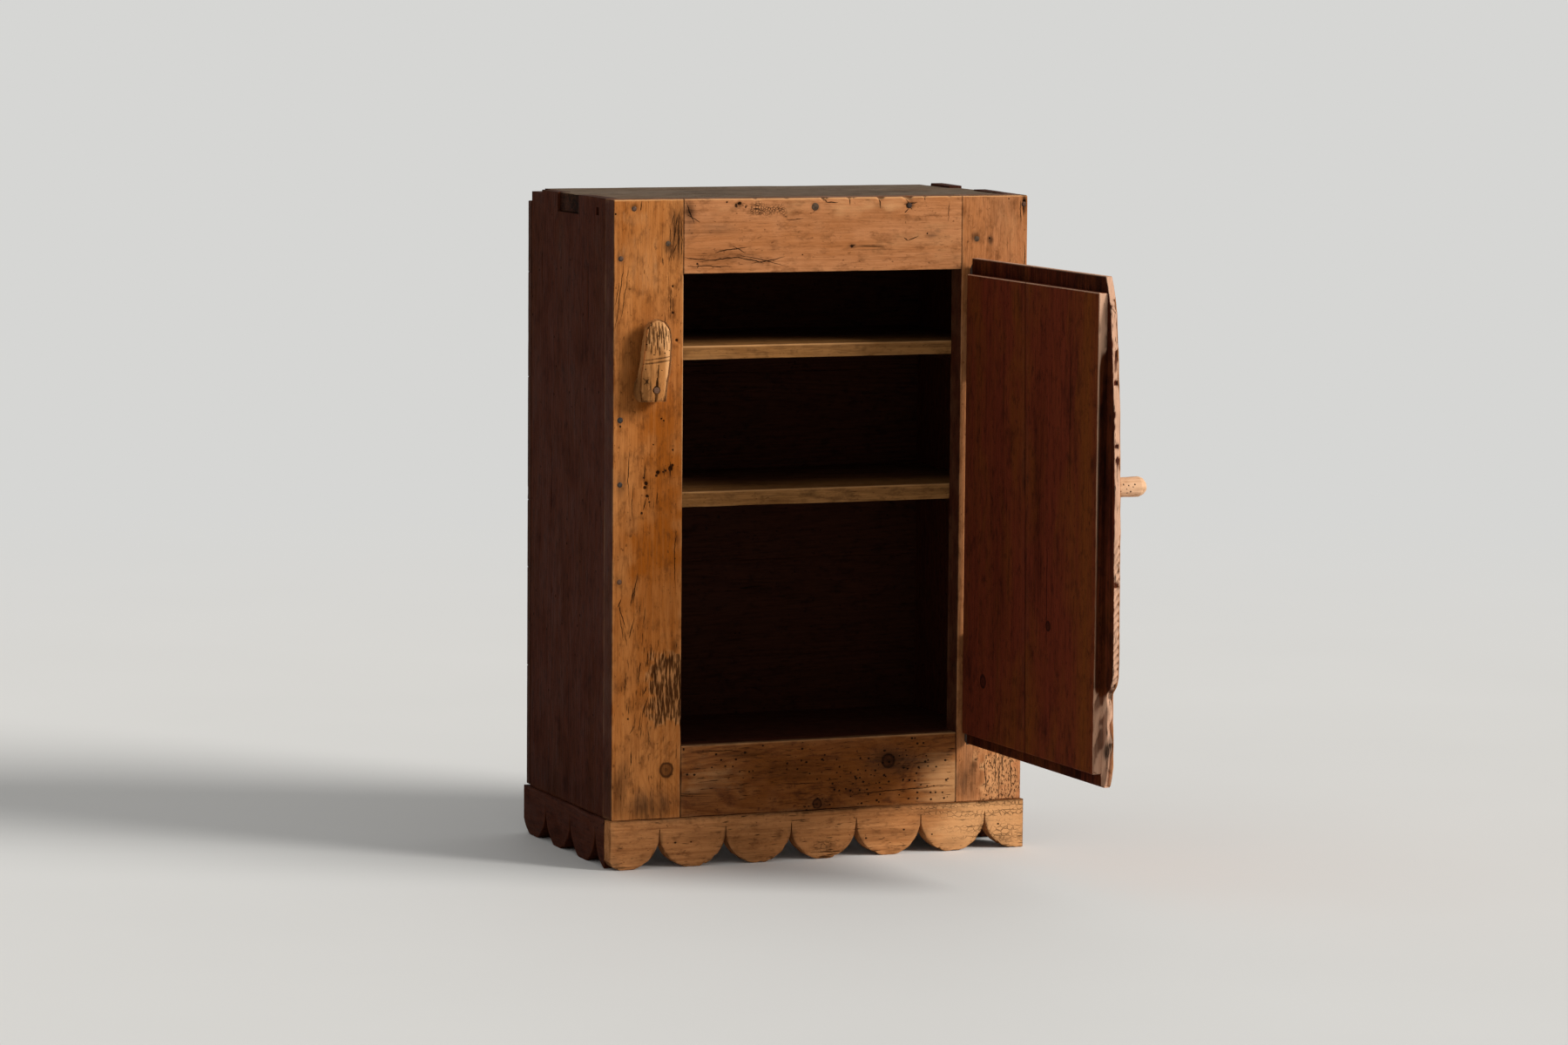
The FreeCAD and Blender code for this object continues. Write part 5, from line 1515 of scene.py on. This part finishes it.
def make_knob():
    piece, points, normals = fine_copy("door_knob", "door_knob_whittled", 1.0)
    low, high = extent("door_knob")
    centre = (low + high) / 2
    at = (centre[0] - LEFT, centre[2])
    holes = [(at[0] + across, at[1] + up) for across, up in KNOB_HOLES]
    knob_wood = wood(
        "knob_wood", **KNOB, ring=0.003, pith=(0.0, 0.006), figure=0.15, amber_share=0.3, deep_share=0.25,
        rough=0.5, fleck=0.1, cracks=0.0, depth=0.0005, away=None,
        dots=[(hole, 1.0 + 0.25 * (count % 3)) for count, hole in enumerate(holes)])
    flats = noise(points + 200, (26, 9, 9), 5) * 1.1 + noise(points + 200, (8, 5, 5), 6) * 0.4
    points = points - normals * flats[:, None]
    # Use has worn the end round
    out = (points[:, 0] - low[0]) / (high[0] - low[0])
    from_axis = np.hypot(points[:, 1] - centre[1], points[:, 2] - centre[2]) / (high[2] - low[2]) * 2
    points[:, 0] -= smooth(0.35, 1.0, out) * (2.5 + 3.5 * from_axis ** 2)
    reshape(piece, points)
    attribute(piece, "timber", (points - centre)[:, [1, 2, 0]] * MM)
    return finish_piece(piece, knob_wood, "door_knob", "door")


# The turn button's outline: height, middle and half width
BUTTON_OUTLINE = ((768, 59, 22), (790, 58, 24.5), (820, 61, 25.5), (840, 65, 25), (870, 67.5, 24),
                  (892, 67.5, 21.5), (905, 66, 14))
BUTTON_WORM_LINES = (
    ((51, 897), (50, 866), 1.5), ((55, 903), (55, 880), 1.1), ((58, 896), (57, 862), 1.6),
    ((61, 903), (62, 886), 1.0), ((63, 888), (64, 856), 1.8), ((67, 902), (67, 872), 1.4),
    ((70, 892), (71, 868), 1.2), ((73, 900), (74, 876), 1.6), ((75, 880), (76, 858), 1.5),
    ((79, 896), (80, 878), 1.2), ((54, 872), (53, 850), 1.3), ((67, 862), (68, 848), 1.2),
    ((84, 888), (85, 868), 1.0), ((47, 880), (46, 856), 1.2), ((60, 866), (60, 848), 1.0),
    ((80, 872), (81, 856), 0.9),
)


def make_turn_button():
    piece, points, normals = fine_copy("turn_button", "turn_button_whittled", 1.0)
    low, high = extent("turn_button")
    x, y, z = points.T - np.array([[LEFT], [0], [0]])
    facing = smooth(0.2, 0.7, -normals[:, 1])
    flats = noise(points + 200, (14, 20, 34), 7) * 1.1 + noise(points + 200, (5, 5, 9), 8) * 0.5
    points = points - normals * flats[:, None]

    def score(start, end, width, soft=1.0):
        """1 along a cut on the face, thinner towards its ends."""
        line = np.array(end, float) - start
        length = np.hypot(*line)
        share = ((x - start[0]) * line[0] + (z - start[1]) * line[1]) / length ** 2
        side = ((z - start[1]) * line[0] - (x - start[0]) * line[1]) / length
        side = side + 1.4 * (noise(points + 100, 9, 4) - 0.5) * soft
        thin = width * np.sqrt(np.clip(4 * share * (1 - share), 0, 1))
        return facing * np.clip(1 - np.abs(side) / np.maximum(thin, 1e-6), 0, 1)

    # The face is domed towards the sides and both ends
    levels, middles, halves = np.array(BUTTON_OUTLINE).T
    from_middle = (x - np.interp(z, levels, middles)) / np.interp(z, levels, halves)
    domed = 7.0 * np.abs(np.clip(from_middle, -1, 1)) ** 3
    domed = domed + 4.0 * smooth(885, 907, z) + 3.0 * smooth(785, 766, z)
    points[:, 1] += domed * facing
    worm = sum(score(start, end, width) for start, end, width in BUTTON_WORM_LINES)
    knife = score((40, 834), (90, 840), 2.0, 0.3) + score((42, 840), (90, 846), 1.6, 0.3)
    split = score((66, 833), (64, 800), 1.2) + score((64, 812), (62, 764), 3.4)
    nicks = score((40, 812), (50, 802), 1.4, 0) + score((42, 801), (50, 811), 1.4, 0)
    points[:, 1] += 2.6 * np.clip(worm, 0, 1) + 1.6 * knife + 4.0 * split + 0.8 * nicks
    reshape(piece, points)
    attribute(piece, "timber", (points - (low + high) / 2) * MM)
    # Darker at the lower left: painted shade
    dark_left = smooth(62, 42, x) * smooth(836, 800, z)
    dirt_and_shade = worm * 1.8 + knife * 1.2 + split * 1.8 + nicks * 1.2 + 0.5 * dark_left
    attribute(piece, "dirt_and_shade", np.clip(dirt_and_shade, 0, 1))
    torn = 0.35 * smooth(842, 880, z) * facing + 0.3 * facing * smooth(836, 800, z)
    attribute(piece, "torn", np.clip(torn, 0, 1))
    # Paler ridges at the top, a paler right edge and right-hand sides: painted highlights
    top_ridges = 0.6 * facing * smooth(845, 870, z) * (1 - np.clip(worm, 0, 1))
    pale = smooth(72, 86, x) + 0.5 * (1 - facing) * (x > 60) + top_ridges
    attribute(piece, "pale", np.clip(pale, 0, 1))
    return finish_piece(piece, button_wood, "turn_button", "turn_button")


def forge(node):
    """A hinge leaf with hammer marks."""
    piece, points, normals = fine_copy(node, node + "_forged", 1.3)
    blows = noise(points + 400, (9, 9, 11), 12) * 0.35 + noise(points + 400, 3.5, 13) * 0.18
    reshape(piece, points - normals * (blows[:, None] + 0.15))
    return finish_piece(piece, hinge_iron, node, "door" if "door" in node else "cabinet")


make_knob()
make_turn_button()


# Nails, pegs and iron

NAIL_HEAD, NAIL_RISE = 5.0, 1.6
NAIL_SHANK, NAIL_LENGTH = 2.8, 26.0


def nail_tree(name):
    """Geometry Nodes: a hammered head and a square shank at each point, turned and sized at random."""
    tree = bpy.data.node_groups.new(name, "GeometryNodeTree")
    face = tree.interface
    face.new_socket("Places", in_out="INPUT", socket_type="NodeSocketGeometry")
    for label in ("Head Radius", "Head Rise", "Shank Radius", "Shank Length"):
        face.new_socket(label, in_out="INPUT", socket_type="NodeSocketFloat")
    face.new_socket("Driven Along", in_out="INPUT", socket_type="NodeSocketVector")
    face.new_socket("Iron", in_out="INPUT", socket_type="NodeSocketMaterial")
    face.new_socket("Nails", in_out="OUTPUT", socket_type="NodeSocketGeometry")

    def node(kind, inputs=(), **settings):
        """A node with its settings. Each input is linked to another node's output or set to a value."""
        made = tree.nodes.new(kind)
        for key, value in settings.items():
            setattr(made, key, value)
        for key, value in dict(inputs).items():
            if isinstance(value, bpy.types.NodeSocket):
                tree.links.new(value, made.inputs[key])
            else:
                made.inputs[key].default_value = value
        return made.outputs

    # A nine-sided head, narrower on top, and a four-sided shank below it
    given = node("NodeGroupInput")
    narrower = node("ShaderNodeMath", {0: given["Head Radius"], 1: 0.55}, operation="MULTIPLY")
    head = node("GeometryNodeMeshCone", {
        "Vertices": 9, "Side Segments": 2, "Radius Bottom": given["Head Radius"], "Radius Top": narrower[0],
        "Depth": given["Head Rise"]})
    shank = node("GeometryNodeMeshCone", {
        "Vertices": 4, "Radius Bottom": given["Shank Radius"], "Radius Top": given["Shank Radius"],
        "Depth": given["Shank Length"]})
    down = node("ShaderNodeMath", {0: given["Shank Length"], 1: -1.0}, operation="MULTIPLY")
    drop = node("ShaderNodeCombineXYZ", {"Z": down[0]})
    lower = node("GeometryNodeTransform", {"Geometry": shank["Mesh"], "Translation": drop[0]})
    both = tree.nodes.new("GeometryNodeJoinGeometry")
    tree.links.new(head["Mesh"], both.inputs[0])
    tree.links.new(lower["Geometry"], both.inputs[0])

    # Each nail turned about its own length, and a little smaller or not
    spin = node("FunctionNodeRandomValue", {2: 0.0, 3: 6.28, "Seed": 3}, data_type="FLOAT")
    about = node("ShaderNodeCombineXYZ", {"Z": spin[1]})
    aim = node("FunctionNodeAlignEulerToVector", {"Vector": given["Driven Along"]}, axis="Z")
    turn = node("FunctionNodeRotateEuler", {"Rotation": aim[0], "Rotate By": about[0]}, space="LOCAL")
    size = node("FunctionNodeRandomValue", {2: 0.85, 3: 1.0, "Seed": 8}, data_type="FLOAT")
    spread = node("GeometryNodeInstanceOnPoints", {
        "Points": given["Places"], "Instance": both.outputs[0], "Rotation": turn[0], "Scale": size[1]})
    real = node("GeometryNodeRealizeInstances", {0: spread[0]})
    dressed = node("GeometryNodeSetMaterial", {"Geometry": real[0], "Material": given["Iron"]})
    node("NodeGroupOutput", {0: dressed[0]})
    return tree


forging = nail_tree("forged_nails")


def drive(places, way):
    """Plain mesh data of nails at places in millimetres, their heads facing way."""
    mesh = bpy.data.meshes.new("nails")
    mesh.from_pydata([[c * MM for c in place] for place in places], [], [])
    piece = new_object("nails", mesh)
    modifier = piece.modifiers.new("forging", "NODES")
    modifier.node_group = forging
    values = {"Head Radius": NAIL_HEAD * MM, "Head Rise": NAIL_RISE * MM, "Shank Radius": NAIL_SHANK * MM,
              "Shank Length": NAIL_LENGTH * MM, "Driven Along": way, "Iron": nail_iron}
    for item in forging.interface.items_tree:
        if item.in_out == "INPUT" and item.name in values:
            modifier[item.identifier] = values[item.name]
    return shaped_mesh(piece)


def join_nails(node, *lots):
    """One object from several lots of nails of a CAD node."""
    points = []
    faces = []
    for mesh in lots:
        start = len(points)
        points += [list(v.co / MM) for v in mesh.vertices]
        faces += [[start + v for v in polygon.vertices] for polygon in mesh.polygons]
    piece = raise_mesh(node + "_forged", points, faces, smooth_faces=False)
    return finish_piece(piece, nail_iron, node)


def solid_middles(node):
    """Lowest and highest corner of each nail or peg of a CAD node, from its separate shells."""
    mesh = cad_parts[node].data
    points = np.array([v.co for v in mesh.vertices]) / MM
    keys = {}
    parent = list(range(len(points)))

    def find(a):
        while parent[a] != a:
            parent[a] = parent[parent[a]]
            a = parent[a]
        return a

    for count, point in enumerate(points):
        key = tuple(point.round(2))
        if key in keys:
            parent[find(count)] = find(keys[key])
        else:
            keys[key] = count
    for polygon in mesh.polygons:
        first = find(polygon.vertices[0])
        for other in polygon.vertices[1:]:
            parent[find(other)] = first
    groups = {}
    for count in range(len(points)):
        groups.setdefault(find(count), []).append(points[count])
    return [(np.min(group, 0), np.max(group, 0)) for group in map(np.array, groups.values())]


def nails_of(node, axis, sign, side=0, seat=0.2):
    """Nails of a node whose heads face along one axis. side keeps those on one side of the cupboard."""
    places = []
    for low, high in solid_middles(node):
        middle = (low + high) / 2
        if (high - low).argmax() != axis or middle[0] * side < 0:
            continue
        middle[axis] = (high[axis] if sign > 0 else low[axis]) - sign * (NAIL_RISE + seat)
        places.append(middle)
    way = [0.0, 0.0, 0.0]
    way[axis] = float(sign)
    return drive(places, way)


join_nails("frame_nails", nails_of("frame_nails", 1, -1))
join_nails("back_nails", nails_of("back_nails", 1, 1, seat=0.0))
join_nails("skirt_nails", nails_of("skirt_nails", 1, 1), nails_of("skirt_nails", 0, 1, side=-1),
           nails_of("skirt_nails", 0, -1, side=1))
join_nails("cleat_nails", nails_of("cleat_nails", 0, 1, side=-1), nails_of("cleat_nails", 0, -1, side=1))

# A peg's outline: how far behind its end, and what share of its radius
PEG_ROWS = ((0.0, 0.25), (0.05, 0.55), (0.1, 0.8), (0.5, 0.93), (1.4, 0.97))
PEG_SIDES = 30


def chance(seed, *cell):
    """A number from 0 to 1 that belongs to one whole-number cell."""
    return hashed(np.array([cell]), seed)[0]


def make_pegs():
    """Riven pegs, not quite round, with a rough end a little below the polish."""
    points = []
    faces = []
    local = []
    for low, high in solid_middles("frame_pegs"):
        centre = (low + high) / 2
        radius = (high[0] - low[0]) / 2
        first = len(points)
        rows = (*PEG_ROWS, (high[1] - low[1], PEG_ROWS[-1][1]))
        for back, share in rows:
            for step in range(PEG_SIDES):
                angle = 2 * math.pi * step / PEG_SIDES
                ragged = 1 - 0.07 * chance(5, step // 3, int(radius), 0)
                x, z = math.cos(angle) * radius * share * ragged, math.sin(angle) * radius * share * ragged
                rough = 0.35 * chance(6, step, int(share * 10), int(centre[0])) if share < 0.9 else 0
                points.append([centre[0] + x, low[1] + back + rough, centre[2] + z])
                local.append([x, z, back])
        for row in range(len(rows) - 1):
            start = first + row * PEG_SIDES
            for step in range(PEG_SIDES):
                a, b = start + step, start + (step + 1) % PEG_SIDES
                faces.append([a, b, b + PEG_SIDES, a + PEG_SIDES])
        last = first + (len(rows) - 1) * PEG_SIDES
        faces.append([first + step for step in reversed(range(PEG_SIDES))])
        faces.append([last + step for step in range(PEG_SIDES)])
    piece = raise_mesh("frame_pegs_riven", points, faces)
    attribute(piece, "timber", np.array(local) * MM)
    return finish_piece(piece, peg_wood, "frame_pegs")


def dress(node, material):
    """Give a CAD node's own mesh its material."""
    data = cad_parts[node].data
    data.materials.clear()
    data.materials.append(material)


make_pegs()
for leaf in ("frame_leaf", "door_leaf"):
    forge("upper_hinge_" + leaf)
    forge("lower_hinge_" + leaf)
dress("upper_hinge_pin", hinge_iron)
dress("lower_hinge_pin", hinge_iron)
dress("hinge_frame_nails", nail_iron)
dress("hinge_door_nails", nail_iron)
dress("turn_button_nail", button_nail_iron)
dress("door_dowels", hidden_wood)


# Floor, light and camera

ROOM_TONE = srgb(214, 214, 212)
FLOOR_RADIUS, FLOOR_SIDES = 30000.0, 64
FILL_STRENGTH = 0.42
WINDOW_PLACE = (3.8, -3.2, 2.5)
WINDOW_STRENGTH, WINDOW_SPREAD = 3.5, 24
# The photograph's view: lens and sensor in millimetres, turns in degrees, place in metres
LENS, SENSOR = 127.35, 36.0
CAMERA_YAW, CAMERA_PITCH, CAMERA_ROLL = 22.086, -6.163, 0.467
CAMERA_PLACE = (-3.4851, -8.6336, 1.5466)


def floor_paint():
    """Pale paint that passes over into the room's own tone far away, where only the camera looks."""
    r = Recipe("floor_paint")
    place = r.node("TexCoord").outputs["Object"]
    cloud = r.noise(r.stretch(place, 1.2, 1.2, 1.2), 3.0)
    paint = r.done(r.mix(cloud, srgb(220, 220, 218), srgb(226, 226, 224)), 0.7)
    far = r.between(r.vector("LENGTH", place), 1.6, 6.0)
    share = r.times(far, r.node("LightPath").outputs["Is Camera Ray"])
    distance = r.node("Emission", {"Color": ROOM_TONE, "Strength": 1.0})
    both = r.node("MixShader", {0: share})
    r.tree.links.new(r.shader.outputs[0], both.inputs[1])
    r.tree.links.new(distance.outputs[0], both.inputs[2])
    r.tree.links.new(both.outputs[0], r.output.inputs["Surface"])
    return paint


def make_floor():
    """A round floor that keeps the cupboard's shadow."""
    turns = np.linspace(0, 2 * math.pi, FLOOR_SIDES + 1)[:-1]
    rim = [[FLOOR_RADIUS * math.cos(turn), FLOOR_RADIUS * math.sin(turn), 0.0] for turn in turns]
    floor = raise_mesh("floor", rim, [list(range(FLOOR_SIDES))], False)
    floor.data.materials.append(floor_paint())
    return floor

def make_world():
    """A soft room: dim fill on the object, and a pale background where only the camera looks."""
    world = bpy.data.worlds.new("room")
    bpy.context.scene.world = world
    world.use_nodes = True
    tree = world.node_tree
    tree.nodes.clear()
    fill = tree.nodes.new("ShaderNodeBackground")
    fill.inputs["Color"].default_value = (1.0, 0.985, 0.965, 1)
    fill.inputs["Strength"].default_value = FILL_STRENGTH
    seen = tree.nodes.new("ShaderNodeBackground")
    seen.inputs["Color"].default_value = ROOM_TONE
    seen.inputs["Strength"].default_value = 1.0
    rays = tree.nodes.new("ShaderNodeLightPath")
    seeing = rays.outputs["Is Camera Ray"]
    for kind in ("Is Glossy Ray", "Is Transmission Ray"):
        either = tree.nodes.new("ShaderNodeMath")
        either.operation = "MAXIMUM"
        tree.links.new(seeing, either.inputs[0])
        tree.links.new(rays.outputs[kind], either.inputs[1])
        seeing = either.outputs[0]
    choose = tree.nodes.new("ShaderNodeMixShader")
    tree.links.new(seeing, choose.inputs[0])
    tree.links.new(fill.outputs[0], choose.inputs[1])
    tree.links.new(seen.outputs[0], choose.inputs[2])
    output = tree.nodes.new("ShaderNodeOutputWorld")
    tree.links.new(choose.outputs[0], output.inputs[0])


def make_window_light():
    """Broad, soft light from the right and a little from the front, as a tall window gives."""
    data = bpy.data.lights.new("window_light", "SUN")
    data.energy = WINDOW_STRENGTH
    data.angle = math.radians(WINDOW_SPREAD)
    data.color = (1.0, 0.975, 0.94)
    lamp = new_object("window_light", data)
    lamp.location = WINDOW_PLACE
    lamp.rotation_euler = (-Vector(WINDOW_PLACE)).to_track_quat("-Z", "Y").to_euler()
    return lamp


def make_camera():
    data = bpy.data.cameras.new("camera")
    data.sensor_width = SENSOR
    data.sensor_fit = "HORIZONTAL"
    data.lens = LENS
    data.clip_end = 100
    camera = new_object("camera", data)
    yaw, pitch, roll = (math.radians(angle) for angle in (CAMERA_YAW, CAMERA_PITCH, CAMERA_ROLL))
    ahead = Vector((math.sin(yaw) * math.cos(pitch), math.cos(yaw) * math.cos(pitch), math.sin(pitch)))
    right = ahead.cross(Vector((0, 0, 1))).normalized()
    up = right.cross(ahead)
    tilted_right = right * math.cos(roll) + up * math.sin(roll)
    tilted_up = up * math.cos(roll) - right * math.sin(roll)
    place = Matrix((tilted_right, tilted_up, -ahead)).transposed().to_4x4()
    place.translation = Vector(CAMERA_PLACE)
    camera.matrix_world = place
    bpy.context.scene.camera = camera
    return camera


make_floor()
make_world()
make_window_light()
make_camera()
bpy.context.scene.view_settings.view_transform = "Standard"
